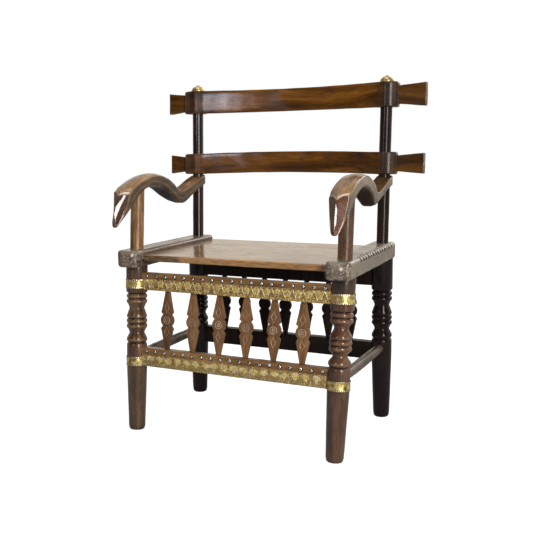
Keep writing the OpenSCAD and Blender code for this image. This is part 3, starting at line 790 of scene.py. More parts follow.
@dataclass
class SeatRails(Part):
    """The two thick seat rails with rounded ends and a chip-carved outer edge.

    Attributes:
        corner, edge: how round the ends are in plan, and the long edges.
        chip_pitch, chip_start, chip_end, chip_depth: the row of cuts along the rail.
        tooth: how far a cut reaches across.
        band: width of the carved band.
    """

    corner: float = 14.0
    edge: float = 8.0
    chip_pitch: float = 19.0
    chip_start: float = 72.0
    chip_end: float = 338.0
    chip_depth: float = 3.2
    tooth: float = 12.5
    band: float = 15.5

    def wedge(self, phase: float, reach: float) -> float:
        """How deep a point lies inside a triangular cut, from 0 at its rim."""
        inside = 0.36 * (1 - reach / self.tooth) - abs(phase % 1.0 - 0.5)
        return max(0.0, inside) * self.chip_pitch if 0 <= reach < self.tooth else 0.0

    def chip(self, y: float, reach: float) -> Pair:
        """Depth of the carving and the painted shade in its cuts.

        Args:
            y: distance behind the front end.
            reach: distance in from the outer edge.

        Returns:
            Depth in millimetres and painted shade from 0 to 1.
        """
        if not self.chip_start < y < self.chip_end or reach > self.band:
            return 0.0, 0.0
        along = (y - self.chip_start) / self.chip_pitch
        along += 0.09 * sin(along * 2.7)
        cut = min(1.0, max(self.wedge(along, reach), self.wedge(along + 0.5, self.band - reach)) / 2.2)
        return self.chip_depth * cut, min(1.0, 1.25 * cut)

    def stations(self) -> list[float]:
        """Distances behind the front end at which the rail has a section.

        Returns:
            The distances, rising.
        """
        ends = [0.0, 0.4, 1.2, 2.4, 4.0, 6.0, 8.0, 11.0, 14.0]
        middle = [14.0 + (self.chip_start - 14.0) * i / 12 for i in range(1, 12)]
        step = self.chip_pitch / 13
        count = round((self.chip_end - self.chip_start) / step)
        cut = [self.chip_start + step * i for i in range(count + 1)]
        rest = [self.chip_end + (RAIL_LEN - 14.0 - self.chip_end) * i / 6 for i in range(1, 6)]
        return ends + middle + cut + rest + [RAIL_LEN - e for e in reversed(ends)]

    def section(self, side: Side, y: float, shrink: float = 1.0) -> tuple[list[Spot], list[Row]]:
        """One section of a rail.

        Args:
            side: which rail it is.
            y: distance behind the front end.
            shrink: how far it is drawn in, for the end face.

        Returns:
            Points of the ring, and their tones.
        """
        near, left = min(y, RAIL_LEN - y), side is Side.LEFT
        plan, rise = (r - sqrt(max(0.0, r**2 - max(0.0, r - near)**2)) for r in (self.corner, self.edge))
        half, low, high = RAIL_W / 2 - plan, RAIL_TOP - RAIL_H + rise, RAIL_TOP - rise
        carved = self.chip_start < y < self.chip_end
        spots, tones = [], []
        for x, z in rounded_ring(-half, half, low, high, min(self.edge, half), 22, 8):
            x, z = x * shrink, (low + high) / 2 + (z - (low + high) / 2) * shrink
            out, depth, dirt_and_shade = side.value * x, 0.0, 0.0
            if z > RAIL_TOP - self.edge - 0.5:
                depth, dirt_and_shade = self.chip(y, RAIL_W / 2 - out)
                # Small nicks along the right rail's inner top edge, with painted shade in them.
                if not left and out < 5.5 - RAIL_W / 2 and depth == 0.0:
                    beat = ((y - self.chip_start) / 16.0) % 1.0
                    if self.chip_start - 20 < y < self.chip_end and beat < 0.42:
                        depth, dirt_and_shade = 1.6, 0.95
            spots.append((x - side.value * depth * 0.5 * (depth > 0 and z < RAIL_TOP - 2), y,
                          z - depth * 0.8))
            inner = out < 1.0 - half
            brown = inner or near > 30 and out < 14 - half and left
            end = max(0.0, 1 - max(0.0, near - 26) / 14) if near == y else 0.0
            front = near == y and near < side.pick(17, 11) and z < high - 1
            # The left rail's front face is darker towards its outer side.
            if front and left:
                dirt_and_shade = max(dirt_and_shade, 0.5 * clamp((-x - 2) / 14))
            # Painted sheen: grey on the tops and sides, little on the front face.
            top_sheen = side.pick(0.85, 0.62) if z > high - 0.6 else 0.1 if front else 0.9
            # Painted highlight: a pale glint spot high on each front end, which also lowers its
            # roughness.
            glint_x, glint_z = side.pick((17.0, 9.8), (9.4, 14.0))
            painted_glint = exp(-(hypot(x - glint_x, z - RAIL_TOP + glint_z) / 3.4) ** 4) * (y < 8)
            teeth = carved and RAIL_W / 2 - out < self.band and depth == 0.0 and z > RAIL_TOP - 4
            # Painted shade on the inner face at and below the seat board.
            tones.append((max(painted_glint, 0.4 * teeth), max(dirt_and_shade, 0.5 * (inner and z < high - 22)),
                          0.0 if brown and near > 30 else max(end, 0.1), 0.0 if brown else top_sheen,
                          painted_glint))
        return spots, tones

    def build(self) -> None:
        """Make and dress both rails."""
        for side in Side:
            rings = [self.section(side, 0.0, k) for k in (0.1, 0.28, 0.46, 0.62, 0.76, 0.89)]
            rings += [self.section(side, y) for y in self.stations()]
            place = shift(side.value * RAIL_X, RAIL_Y0, 0) @ turn_by("Z", side.value * RAIL_TOE)
            self.hand_over(hand_worked(skin(*zip(*rings)), 0.4, 34.0, side.value * 2.2),
                           f"{side.word}_seat_rail", "carved", "rail_wood", RAIL_WOOD, place, 50)


@dataclass
class SeatBoard(Part):
    """The seat plank between the rails."""

    top: float = RAIL_TOP - 12.0
    thick: float = 15.0
    front: float = FRONT_Y - 17.0
    rear: float = REAR_Y + 33.0

    @staticmethod
    def half(y: float) -> float:
        """Half width between the rails at y."""
        toe = radians(RAIL_TOE)
        return RAIL_X - RAIL_W / 2 / cos(toe) - (y - RAIL_Y0) * tan(toe)

    def build(self) -> None:
        """Make and dress the board."""
        ring = rounded_ring(self.front, self.rear, self.top - self.thick, self.top, 3.4, 40, 5)
        rows, tones = [], []
        for k in (i / 30 - 1 for i in range(61)):
            rows.append([(k * (self.half(y) + 0.4), y, z) for y, z in ring])
            dark = clamp(1 - (k + 0.62) / 0.06)
            rub = 0.7 + 0.3 * sin(k * 5.2 + 0.8)
            line = []
            for y, z in ring:
                face = y < self.front + 3.5 and z < self.top - 0.4
                # The front edge's top rim paler, as worn wood and as painted highlight.
                rim = max(0.0, 1 - abs(y - self.front - 1.6) / 2.4) * (z > self.top - 3.0)
                stain = 0.16 + 0.5 * waver(k * 14.0, z * 0.3, 2.0)
                rim = max(min(1.0, 1.3 * rim * rub), 0.4 * face) * (1 - 0.6 * dark)
                line.append((rim, max(0.0, 0.5 * dark + stain) * face, 0.9 * dark * face))
            tones.append(line)
        self.hand_over(hand_worked(skin(rows, tones), 0.35, 70.0, 4.0), "seat_board", "plank",
                       "seat_wood", SEAT_WOOD)


@dataclass
class CrossRails(Part):
    """Front rails that carry the brass, and the two dark rear rails."""

    thick: float = 24.0

    def bar(self, half: float, top: float, height: float) -> Mesh:
        """A bar across the chair with softened edges, in a row's frame."""
        ring = rounded_ring(-self.thick / 2, self.thick / 2, -top - height, -top, 1.8, 6, 3)
        return skin([[(half * (i / 40 - 1), y, z) for y, z in ring] for i in range(81)])

    def build(self) -> None:
        """Make and dress the four bars."""
        front, rear = ("cross_wood", CROSS_WOOD, FRONT_ROW), ("rear_wood", REAR_WOOD, REAR_ROW)
        jobs = [("front_upper_rail", 244.0, UPPER_TOP, UPPER_H, front),
                ("front_lower_rail", 240.0, LOWER_TOP, LOWER_H, front),
                ("rear_upper_rail", 240.0, UPPER_TOP + 8.0, UPPER_H, rear),
                ("rear_lower_rail", 242.0, LOWER_TOP + 12.0, LOWER_H, rear)]
        for seed, (node, half, top, height, look) in enumerate(jobs):
            bar = hand_worked(self.bar(half, top, height), 0.3, 45.0, seed * 3.0)
            self.hand_over(bar, node, "bar", *look)


@dataclass
class Splats(Part):
    """Flat carved splats: six incised ones in front, seven plain ones behind.

    Attributes:
        lobe_r, lobe_z: radius and height of the round lobe.
        stroke: half width of a cut.
        marks, darker: how pale the cuts are and how dark the face is, for each front splat.
        lengths, pitches, drops: length, spacing and depth below the rail top, in front and behind.
    """

    thick: float = 8.0
    lobe_r: float = 16.7
    lobe_z: float = -68.5
    stroke: float = 0.9
    marks: Row = (1.0, 0.45, 1.0, 0.55, 1.1, 0.95)
    darker: Row = (0.26, 0.03, 0.02, 0.0, 0.16, 0.12)
    lengths: Pair = (138.0, 142.0)
    pitches: Pair = (68.0, 58.5)
    drops: Pair = (96.0, 104.0)

    def outline(self, length: float) -> list[Pair]:
        """Right edge of a splat, with its shoulders and lobe.

        Args:
            length: length of the splat.

        Returns:
            Points from top to foot.
        """
        arc = [(self.lobe_r * cos(t), self.lobe_z - self.lobe_r * sin(t))
               for t in (radians(-49 + 98 * i / 12) for i in range(13))]
        return [(5.5, 0), (6.0, -4), (10.2, -25), (14.4, -45), (15.4, -48.4), (15.6, -49.6),
                (15.0, -51.2), (11.6, -54.4), (11.0, -55.4), *arc, (11.0, -81.7), (11.8, -82.8),
                (15.0, -87.2), (15.6, -89.2), (15.4, -91.0), (14.0, -94),
                (9.9, -94 - (length - 98) / 2), (5.6, -length + 4), (5.4, -length)]

    def board(self, length: float, seed: float) -> Mesh:
        """Cut the outline from a board and soften its edges.

        Args:
            length: length of the splat.
            seed: shifts its unevenness.

        Returns:
            The splat, its top at 0.
        """
        right = self.outline(length)
        bm = bmesh.new()
        verts = [bm.verts.new((x * (1 + 0.02 * sin(seed + z * 0.06)), -self.thick / 2, z))
                 for x, z in right + [(-x, z) for x, z in reversed(right)]]
        made = bmesh.ops.extrude_face_region(bm, geom=[bm.faces.new(verts)])
        for vert in made["geom"]:
            if isinstance(vert, bmesh.types.BMVert):
                vert.co.y = self.thick / 2
        bmesh.ops.recalc_face_normals(bm, faces=bm.faces)
        rim = [e for e in bm.edges if abs(e.verts[0].co.y - e.verts[1].co.y) < 0.1]
        bmesh.ops.bevel(bm, geom=rim, affect="EDGES", offset=0.9, segments=3, profile=0.5,
                        material=-1)
        return bm

    def groove(self, path: Sequence[Pair]) -> Mesh:
        """A V-shaped cutter that follows a closed path on the front face.

        Args:
            path: x and z of its corners.

        Returns:
            The cutter.
        """
        middle = Vector((sum(x for x, _ in path), sum(z for _, z in path))) / len(path)
        face, rows = -self.thick / 2, []
        for x, z in [*path, path[0]]:
            out = (Vector((x, z)) - middle).normalized() * self.stroke
            rows.append([(x + out.x, face - 0.5, z + out.y), (x - out.x, face - 0.5, z - out.y),
                         (x, face + 0.7, z)])
        return skin(rows, caps=False)

    def engraving(self, seed: int) -> Mesh:
        """All cutters of one splat: two lozenges, two rings and a dot.

        Args:
            seed: number of the splat, which slants its lozenges.

        Returns:
            The cutters, all faces with material index 1.
        """
        lean = 0.5 * sin(seed * 2.3)
        paths = []
        for top, foot, half in ((-26.0, -52.0, 5.8), (-84.0, -108.0, 5.6)):
            mid = (top + foot) / 2 + lean
            paths.append([(lean, top), (half, mid), (lean, foot), (-half, mid)])
        for radius in (8.2, 3.7):
            paths.append([(radius * cos(t), self.lobe_z + radius * sin(t))
                          for t in (2 * pi * i / 36 for i in range(36))])
        bm = bmesh.new()
        for path in paths:
            join(bm, self.groove(path))
        dot = turned([(0, -1.0), (1.1, -1.0), (0.8, 0.5), (0, 0.7)], 16)
        dot.transform(shift(0, -self.thick / 2, self.lobe_z) @ turn_by("X", -90))
        join(bm, dot)
        bmesh.ops.recalc_face_normals(bm, faces=bm.faces)
        for face in bm.faces:
            face.material_index = 1
        return bm

    @staticmethod
    def engrave(board: Mesh, cutter: Mesh) -> Mesh:
        """Cut grooves into a board.

        Args:
            board: the splat.
            cutter: closed cutters whose faces carry material index 1.

        Returns:
            The splat with the grooves cut into its face.
        """
        things = [solid("board", board), solid("cutter", cutter)]
        for thing in things:
            for name in ("face", "groove"):
                thing.data.materials.append(bpy.data.materials.new(name))
        cut = things[0].modifiers.new("engrave", "BOOLEAN")
        cut.operation, cut.solver, cut.object = "DIFFERENCE", "EXACT", things[1]
        ready = things[0].evaluated_get(bpy.context.evaluated_depsgraph_get())
        bm = bmesh.new()
        bm.from_mesh(ready.to_mesh())
        for thing in things:
            mesh, coats = thing.data, list(thing.data.materials)
            bpy.data.objects.remove(thing)
            bpy.data.meshes.remove(mesh)
            for coat in coats:
                bpy.data.materials.remove(coat)
        return bm

    def build(self) -> None:
        """Make and dress all splats."""
        shades = ((0.12, 0.4, (1, .82, .66)), (0.14, 0.52, (1, .84, .68)), (0.17, 0.6, (1, .86, .7)))
        for i, (worn, dark) in enumerate(zip(self.marks, self.darker)):
            board = self.board(self.lengths[0], i * 1.9)
            toned(board, lambda spot, dark=dark: (0.0, dark))
            colours = [tuple(low + span * worn * c for c in tint) for low, span, tint in shades]
            place = FRONT_ROW @ shift((i - 2.5) * self.pitches[0], 0, -self.drops[0])
            self.hand_over(self.engrave(board, self.engraving(i)), f"front_splat_{i + 1}", "incised",
                           "splat_wood", SPLAT_WOOD, place, 30,
                           Wood(f"splat_marks_{i + 1}", *colours, patina_amount=0.2))
        for i in range(7):
            place = REAR_ROW @ shift((i - 3) * self.pitches[1], 0, -self.drops[1])
            self.hand_over(self.board(self.lengths[1], i * 1.3), f"rear_splat_{i + 1}", "board",
                           "rear_wood", REAR_WOOD, place, 30)


@dataclass
class BrassStrips(Part):
    """Embossed brass strips on the front rails.

    Attributes:
        thick, height: the sheet, and how far its relief stands up.
        mesh_x, mesh_z: spacing of its points.
    """

    thick: float = 1.0
    height: float = 1.5
    mesh_x: float = 0.72
    mesh_z: float = 0.68

    @staticmethod
    def rosettes(x: float, z: float, tall: float, wander: float) -> Spot:
        """Rosettes between tents, over a vine.

        Args:
            x, z: distance from the strip's middle, and height above its lower edge.
            tall: height of the strip.
            wander: hand-made unevenness from -1 to 1.

        Returns:
            Relief, grime and wear.
        """
        cell = (x / NAIL_PITCH + 0.5) % 1.0 - 0.5
        if z > tall - 0.8:
            return 0.3, 0.7, 0.0
        if z < tall * 0.2:
            vine = max(sin(x * 0.95 + z * 1.3 + wander * 4), sin(x * 0.7 - z * 1.9))
            high = 0.2 + 0.75 * max(0.0, vine) ** 3
            return high, 1.1 * (1 - high), 0.0
        tent = abs(cell) * NAIL_PITCH - (tall - 1.0 - z) * 0.42
        if tent < 0.9:
            if abs(cell) * NAIL_PITCH < (tall * 0.62 - z) * 0.46:
                return 0.02, 0.88 + 0.5 * wander, 0.0
            return (0.95, 0.1 - wander, 0.2 + wander) if tent > -0.6 else (0.3, 0.75, 0.0)
        across, above = (0.5 - abs(cell)) * NAIL_PITCH, z - tall * 0.62
        radius = hypot(across, above)
        if radius < 6.6:
            angle = atan2(above, across if cell < 0 else -across)
            petal = 0.5 + 0.5 * cos(7 * angle + wander * 3)
            leaf = max(petal * swell(radius, 3.6, 2.2), swell(radius, 0.0, 1.3))
            return 0.3 + 0.7 * leaf, 0.75 * (1 - leaf), 0.0
        if radius < 7.7:
            return 0.8, 0.1, 0.25 + wander
        return 0.2 + 0.4 * max(0.0, wander), 0.8 - 0.7 * wander, 0.0

    @staticmethod
    def leaves(x: float, z: float, tall: float, wander: float) -> Spot:
        """Leaves of slanting strokes on a hatched ground.

        Args:
            x, z: distance from the strip's middle, and height above its lower edge.
            tall: height of the strip.
            wander: hand-made unevenness from -1 to 1.

        Returns:
            Relief, grime and wear.
        """
        if z > tall - 0.8:
            return 0.3, 0.7, 0.0
        cell = (x / NAIL_PITCH + 0.5) % 1.0 - 0.5
        across, above = (0.5 - abs(cell)) * NAIL_PITCH, z - tall * 0.62
        if hypot(across * (0.8 if above > -2 else 1.5), above) < 7.4 + 3 * wander:
            stroke = sin((x * 0.7 + z) * 1.7 + wander * 4)
            return (0.9, 0.0, 0.25 + wander) if stroke > -0.25 else (0.35, 0.5, 0.0)
        hatch = sin((x - z * 1.1) * 1.9 + wander * 5)
        return (0.8, 0.25, 0.1 + wander) if hatch > 0.5 else (0.15, 0.95, 0.0)

    def sheet(self, half: float, foot: float, tall: float, seed: float,
              pattern: Callable[[float, float, float, float], Spot]) -> Mesh:
        """One strip as a pressed sheet with closed edges.

        Args:
            half: half its length.
            foot: height of its lower edge.
            tall: height of the strip.
            seed: shifts its unevenness.
            pattern: what is pressed into it.

        Returns:
            The strip in the front row frame.
        """
        columns, lines = round(half * 2 / self.mesh_x), round(tall / self.mesh_z)
        rows, tones = [], []
        for i in range(columns + 1):
            x = -half + 2 * half * i / columns
            row, tone = [(x, STRIP_Y + 0.2, foot)], [(0.0, 0.6)]
            for j in range(lines + 1):
                z = tall * j / lines
                wander = waver(x * 0.05, z * 0.1, seed)
                shaky = waver(x * 0.35, z * 0.35, seed + 9)
                high, dirt_and_shade, rub = pattern(x + wander * 1.6, z + wander * 1.1, tall, wander + shaky)
                edge = min(1.0, j / 1.5, (lines - j) / 1.5)
                proud = self.thick * 0.5 + edge * (self.height * high + 0.22 * shaky)
                row.append((x, STRIP_Y - max(0.15, proud), foot + z))
                tone.append((clamp(rub), clamp(dirt_and_shade + 0.9 * shaky)))
            rows.append([*row, (x, STRIP_Y + 0.2, foot + tall)])
            tones.append([*tone, (0.0, 0.6)])
        return skin(rows, tones)

    def build(self) -> None:
        """Make and dress both strips."""
        jobs = [("upper", 233.5, UPPER_TOP + UPPER_H, 27.0, 1.0, self.rosettes),
                ("lower", 230.5, LOWER_TOP + LOWER_H, 27.5, 6.0, self.leaves)]
        for name, half, drop, tall, seed, pattern in jobs:
            self.hand_over(self.sheet(half, -drop, tall, seed, pattern), f"{name}_brass_strip",
                           "embossed", "embossed_brass", STRIP_BRASS, FRONT_ROW, 70)


@dataclass
class Nails(Part):
    """Domed nails in the wood above each strip, each on a dark disc that paints its shadow."""

    radius: float = 3.9
    height: float = 2.4
    count: int = 19
    drop: float = 8.0

    def build(self) -> None:
        """Make and dress both rows."""
        r, rise = self.radius, self.height - 0.35
        dome = [(0, 0), (r, 0), (r - 0.05, 0.35)]
        dome += [(r * cos(t), 0.35 + rise * sin(t))
                 for t in (radians(12 + 78 * i / 7) for i in range(7))] + [(0, self.height)]
        for node, top in (("upper_nails", UPPER_TOP), ("lower_nails", LOWER_TOP)):
            whole = bmesh.new()
            for i in range(self.count):
                stray = noise.noise_vector(Vector((i * 1.7, top, 3.0)))
                x = (i - (self.count - 1) / 2) * NAIL_PITCH + stray.x * 1.2
                # Painted shadow: a dark disc of rear wood behind each head, set a little to the right.
                ring = turned([(0, -0.1), (r + 1.0, -0.1), (r + 0.9, 0.25), (0, 0.25)], 20)
                for face in ring.faces:
                    face.material_index = 1
                ring.transform(shift(x + 0.25, STRIP_Y, -top - self.drop - 0.3) @ turn_by("X", 90))
                join(whole, ring)
                head = turned(dome, 24)
                head.transform(shift(x, STRIP_Y + 0.1, -top - self.drop + stray.y * 1.2)
                               @ turn_by("Z", stray.z * 14) @ turn_by("X", 90 + stray.x * 12))
                join(whole, head)
            self.hand_over(whole, node, "domed", "nail_metal", NAIL_STEEL, FRONT_ROW,
                           extra=REAR_WOOD)


@dataclass
class Bands(Part):
    """Brass bands round the front legs, with beaded and pinked edges."""

    height: float = 21.0
    thick: float = 0.9
    beads: int = 36

    def ring(self, radius: float, seed: float, tarnish: float) -> Mesh:
        """One band about z, centred on its height.

        Args:
            radius: inner radius.
            seed: shifts its dents.
            tarnish: how dull it is, from 0 to 1.

        Returns:
            The band.
        """
        rows, tones = [], []
        turns, lines = self.beads * 6, 26
        for angle in (2 * pi * i / turns for i in range(turns + 1)):
            c, s = cos(angle), sin(angle)
            row, tone = [], []
            beat = 0.5 + 0.5 * cos(self.beads * angle)
            for j in range(lines + 1):
                z = self.height * (j / lines - 0.5)
                edge = self.height / 2 - abs(z)
                bead = beat * swell(edge, 1.6, 1.3)
                dent = waver(c * 3, s * 3, z * 0.12 + seed)
                r = radius + self.thick + 0.75 * bead + 0.25 * swell(edge, 3.9, 0.5) + 0.35 * dent
                row.append((r * c, r * s, z + copysign(0.6 * beat, z) * max(0.0, 1 - edge / 1.5)))
                dirt_and_shade = tarnish + 1.1 * (edge < 3.2) * (1 - bead) + dent
                tone.append((bead * (1 - tarnish), clamp(dirt_and_shade)))
            for z in (self.height / 2 - 0.4, 0.4 - self.height / 2):
                row.append((radius * c, radius * s, z))
                tone.append((0.0, 0.8))
            rows.append(row)
            tones.append(tone)
        return skin(rows, tones, caps=False)

    def build(self) -> None:
        """Make and dress the four bands."""
        jobs = [("upper", 83.0, 25.6, 0.0), ("lower", 268.0, 24.3, 0.3)]
        for side in Side:
            for seed, (name, drop, radius, tarnish) in enumerate(jobs):
                self.hand_over(self.ring(radius, seed * 5.0 + side.value, tarnish),
                               f"front_{side.word}_{name}_band", "beaded", "band_brass", BAND_BRASS,
                               front_leg(side) @ shift(0, 0, -drop), 60)


@dataclass
class Armrests(Part):
    """S-shaped armrests that end in a carved, beaked head.

    Attributes:
        upper, lower: side view of the bar's edges, as y behind the arm post and z.
        pairs: y on the upper and the lower edge at each section of the bar.
        plan: y and half width.
        facets: depth on the face, then where the polished flat of each arm starts and ends,
            as shares of the half width.
        face_foot, face_top: heights of the face's ridge between which it has its flat.
        brow_y, head_y, head_z: the brow ends behind the first, the head behind the others.
        tail_y, tail_r: where the rear end starts to round off, and its radius.
        toe: how far the arm turns in, in degrees.
    """

    upper: tuple = (
        (-46, -21.5), (-38, -18), (-28, -13.4), (-14, -7.8), (0, -2.8), (14, 1.2), (28, 4.6),
        (42, 7.4), (56, 8.8), (70, 8.9), (84, 7.6), (94, 5.6), (105, 2.2), (114, -0.8), (124, -4),
        (134, -9), (145, -15), (152, -18.8), (160, -24.4), (167, -28.6), (174, -31.4),
        (184, -33.8), (198, -33.6), (214, -30.4), (231, -25.6), (244, -20.6), (257, -15.6),
        (270, -11), (282, -7.4), (295, -4), (306, -2), (325, -0.5))
    lower: tuple = (
        (-42, -66.5), (-31, -54.5), (-20, -43.5), (-8, -34.5), (4, -28), (16, -23.2), (29, -19.5),
        (42, -17), (56, -16), (70, -17), (83, -19.5), (96, -23.5), (109, -29.2), (122, -36),
        (135, -43.5), (148, -50.5), (161, -58), (173, -64), (184, -67), (196, -67.5), (208, -65),
        (221, -59.5), (235, -52.5), (250, -46), (266, -39.5), (282, -33.5), (296, -28.5),
        (310, -24.5), (325, -22))
    pairs: tuple = (
        (-26, -14), (-14, -4), (0, 9), (14, 22), (28, 34.5), (42, 47), (56, 58), (70, 69),
        (84, 78), (94, 85), (105, 95), (114, 103), (124, 112), (134, 122), (145, 133), (152, 141),
        (160, 151), (167, 162), (174, 173), (184, 186), (198, 204), (214, 225), (231, 241),
        (244, 254.5), (257, 267), (270, 278.5), (282, 288), (295, 297.5), (301, 301.5),
        (306, 306.5), (311, 311), (315, 315), (318, 318), (319.6, 319.6))
    plan: tuple = (
        (-90, 23), (30, 23), (62, 23), (110, 22.4), (138, 22), (155, 21.1), (170, 19.2),
        (188, 18), (212, 18), (236, 18.6), (268, 19.2), (285, 19.5), (330, 19.5))
    facets: tuple = (
        (30, 0.75, 0.95, 0.0, 0.0), (38.5, 0.6, 0.93, 0.0, 0.0), (45, 0.36, 0.82, 0.0, 0.1),
        (48, 0.28, 0.77, 0.0, 0.22), (56, 0.12, 0.68, 0.0, 0.27), (68, 0.0, 0.5, 0.0, 0.31),
        (79, 0.0, 0.36, 0.0, 0.36), (86, 0.18, 0.32, 0.0, 0.3), (92, 0.35, 0.35, 0.0, 0.0),
        (106, 0.35, 0.35, 0.0, 0.0))
    face_foot: float = -106.0
    face_top: float = -35.2
    brow_y: float = -44.5
    head_y: float = -48.0
    head_z: float = -34.0
    tail_y: float = 300.4
    tail_r: float = 19.5
    toe: float = 1.35

    def flat(self, side: Side, rz: float) -> Pair:
        """Start and end of the polished flat.

        Args:
            side: which arm it is.
            rz: height of the ridge.

        Returns:
            Both as shares of the half width.
        """
        if not self.face_foot < rz < self.face_top:
            return 0.0, 0.0
        start, end = line_at(self.facets, -rz)[side.pick(slice(0, 2), slice(2, 4))]
        return max(0.0, start), max(0.0, start, end)

    def face(self, side: Side, u: float, rz: float, ratio: float, power: float) -> float:
        """Share of the way from the ridge back to the corner on the face's sunlit half.

        Args:
            side: which arm it is.
            u: share of the half width.
            rz: height of the ridge.
            ratio: half width of the face over its depth.
            power: bend of a face without its flat.

        Returns:
            Share from 0 to 1.
        """
        if not self.face_foot < rz < self.face_top:
            return u ** power
        start, end = self.flat(side, rz)
        slope, first = side.pick(0.98, 0.6) * ratio, 0.12 * ratio * start
        if u < start:
            return 0.12 * ratio * u
        if u < end:
            return first + slope * (u - start)
        last = first + slope * (end - start)
        return last + (1 - last) * (u - end) / (1 - end)

    @staticmethod
    def head_rows(p: float, q: float) -> list[Row]:
        """Sections of the head from the tip to the bar.

        Args:
            p: y of the brow's forward peak.
            q: how round the face is under the brow.

        Returns:
            Rows of ridge y and z, corner y and z, underside y and z, half width, half width of
            the underside, hollow of the face, lift of the brow, mouth line, and power of the
            face's section.
        """
        return [
            (-82.3, -104.7, -81.9, -104.8, -81.4, -105.2, 1.2, 1.0, 0.0, 0.0, 1.0, 1.1),
            (-83.6, -103.9, -81.8, -104.2, -80.2, -104.9, 4.0, 3.2, 0.0, 0.0, 1.0, 1.1),
            (-84.6, -101.5, -81.0, -102.4, -78.4, -103.8, 6.6, 5.4, 0.0, 0.0, 1.0, 1.1),
            (-85.0, -97.0, -79.5, -98.5, -75.2, -100.4, 9.0, 7.2, 0.0, 0.0, 1.0, 1.1),
            (-84.2, -89.0, -75.5, -91.0, -69.2, -94.0, 11.8, 9.4, 0.1, 0.0, 1.0, 1 + 0.08 * q),
            (-82.6, -79.0, -69.5, -81.0, -61.6, -86.8, 14.6, 11.8, 0.2, 0.0, 1.0, 1 + 0.12 * q),
            (-80.4, -68.0, -63.0, -70.0, -53.6, -79.4, 17.2, 14.0, 0.5, 0.0, 0.1, 1 + 0.2 * q),
            (-77.8, -56.0, -57.0, -57.0, -45.8, -70.8, 19.6, 16.6, 0.9, 0.0, 0.0, 1 + 0.38 * q),
            (0.35 * p - 49.2, -45.0, -52.6, -43.0, -38.0, -62.2, 21.8, 19.0, 1.6, 0.0, 0.0,
             1 + 0.8 * q),
            (0.8 * p - 15.5, -38.5, -50.2, -34.0, -33.4, -57.0, 22.8, 20.4, 2.4, 0.8, 0.0, 1 + q),
            (p - 0.4, -35.8, -49.6, -29.8, -31.4, -54.8, 23.0, 21.0, 1.2, 2.6, 0.0, 1.1),
            (p, -34.6, -49.2, -28.2, -31.0, -54.4, 23.0, 21.0, 0.0, 3.4, 0.0, 1.0),
            (p + 1.4, -33.6, -48.2, -27.0, -30.2, -53.6, 23.0, 21.2, 0.0, 3.4, 0.0, 1.0),
            (0.5 * p - 24.0, -26.6, -43.0, -23.2, -26.0, -49.4, 23.0, 21.6, 0.0, 2.6, 0.0, 1.0),
            (-44.0, -20.4, -36.0, -17.4, -20.0, -43.5, 23.0, 22.0, 0.0, 2.8, 0.0, 1.0)]

    def bar_rows(self, side: Side) -> list[Row]:
        """Sections of the bar from the head to the rear end.

        Args:
            side: which arm it is.

        Returns:
            Rows with the values of head_rows.
        """
        rows = []
        for top_y, foot_y in self.pairs:
            top_z, foot_z = line_at(self.upper, top_y)[0], line_at(self.lower, foot_y)[0]
            if side is Side.RIGHT:
                foot_z += 7.5 * swell(foot_y, 248, 42)
            half = line_at(self.plan, top_y)[0]
            if top_y > self.tail_y:
                half = sqrt(max(0.4, self.tail_r**2 - (top_y - self.tail_y)**2))
            crown = 3.4 if top_y < 120 else max(0.5, 3.4 - (top_y - 120) / 20)
            rows.append((top_y, top_z, top_y, top_z, foot_y, foot_z, half, half, 0.0, crown, 0.0,
                         1.0))
        return rows

    def half_ring(self, row: Row, way: int, side: Side, skew: float) -> list[tuple[Spot, Row]]:
        """One half of a section, from its ridge round to its underside.

        Args:
            row: a row of head_rows or bar_rows.
            way: 1 for the half towards the chair's right, -1 for the other.
            side: which arm it is.
            skew: how far the brow tilts up towards the chair's right.

        Returns:
            Points with their tones.
        """
        ry, rz, cy, cz, ly, lz, half, foot, hollow, lift, mouth, power = row
        lit, right, side_sheen = way > 0, side is Side.RIGHT, side.pick(0.38, 0.85)
        head, brow = cy < self.head_y or rz < self.head_z, cy < self.brow_y
        tilt = way * skew * swell(cz, -28, 9) * (cy < -30)
        tuck = swell(ly, 196, 34) * (way == side.value and ly > 60)
        ridge, corner = Vector((0, ry, rz)), Vector((0, cy, cz + tilt))
        under = Vector((0, ly, lz + 3.5 * tuck))
        inward, drop = (under - ridge).normalized(), (under - corner).normalized()
        r = min(3.4, half * 0.4, (under - corner).length * 0.35)
        end = self.flat(side, rz)[1] if lit else 0.0
        ratio = (half - r) / max(1.0, cy - ry)
        dip = hollow * (0.4 if lit else 1.0) * (1 - end)
        # Painted shade: the head's face darkened, most on the half away from the light.
        dim = 0.7 if not lit else side.pick(0.5, 0.1)
        out: list[tuple[Vector, Row]] = []
        for u in (i / 22 for i in range(23)):
            blunt = min(1.0, (sqrt(u * u + 0.004) - 0.0632) / 0.9388)
            share = self.face(side, u, rz, ratio, power) if lit else blunt ** power
            past = max(0.0, (u - end) / (1 - end))
            at = ridge.lerp(corner, share) + inward * (dip * max(0.0, sin(pi * past)) ** 0.8)
            at.z += lift * (sin(pi * u) if brow else cos(pi * u / 2))
            at.x = u * (half - r)
            # Painted highlight: the brow's lip pale on the lit half, faint on the other half. The rear
            # of the right arm's top is darker.
            tone = (0.9 if lit else 0.25) * (lift > 3.0 and brow and 0.08 < u)
            out.append((at, (tone, dim * (1 - tone) * head + 0.62 * (cy > 165 and right), 0.0, 0.0,
                             (1.0 if lit else -3.0) * head)))
        top = out[-1][0]
        for i in range(1, 5):
            t = radians(90 * i / 4)
            at = top + Vector((r * sin(t), 0, 0)) + drop * (r * (1 - cos(t)))
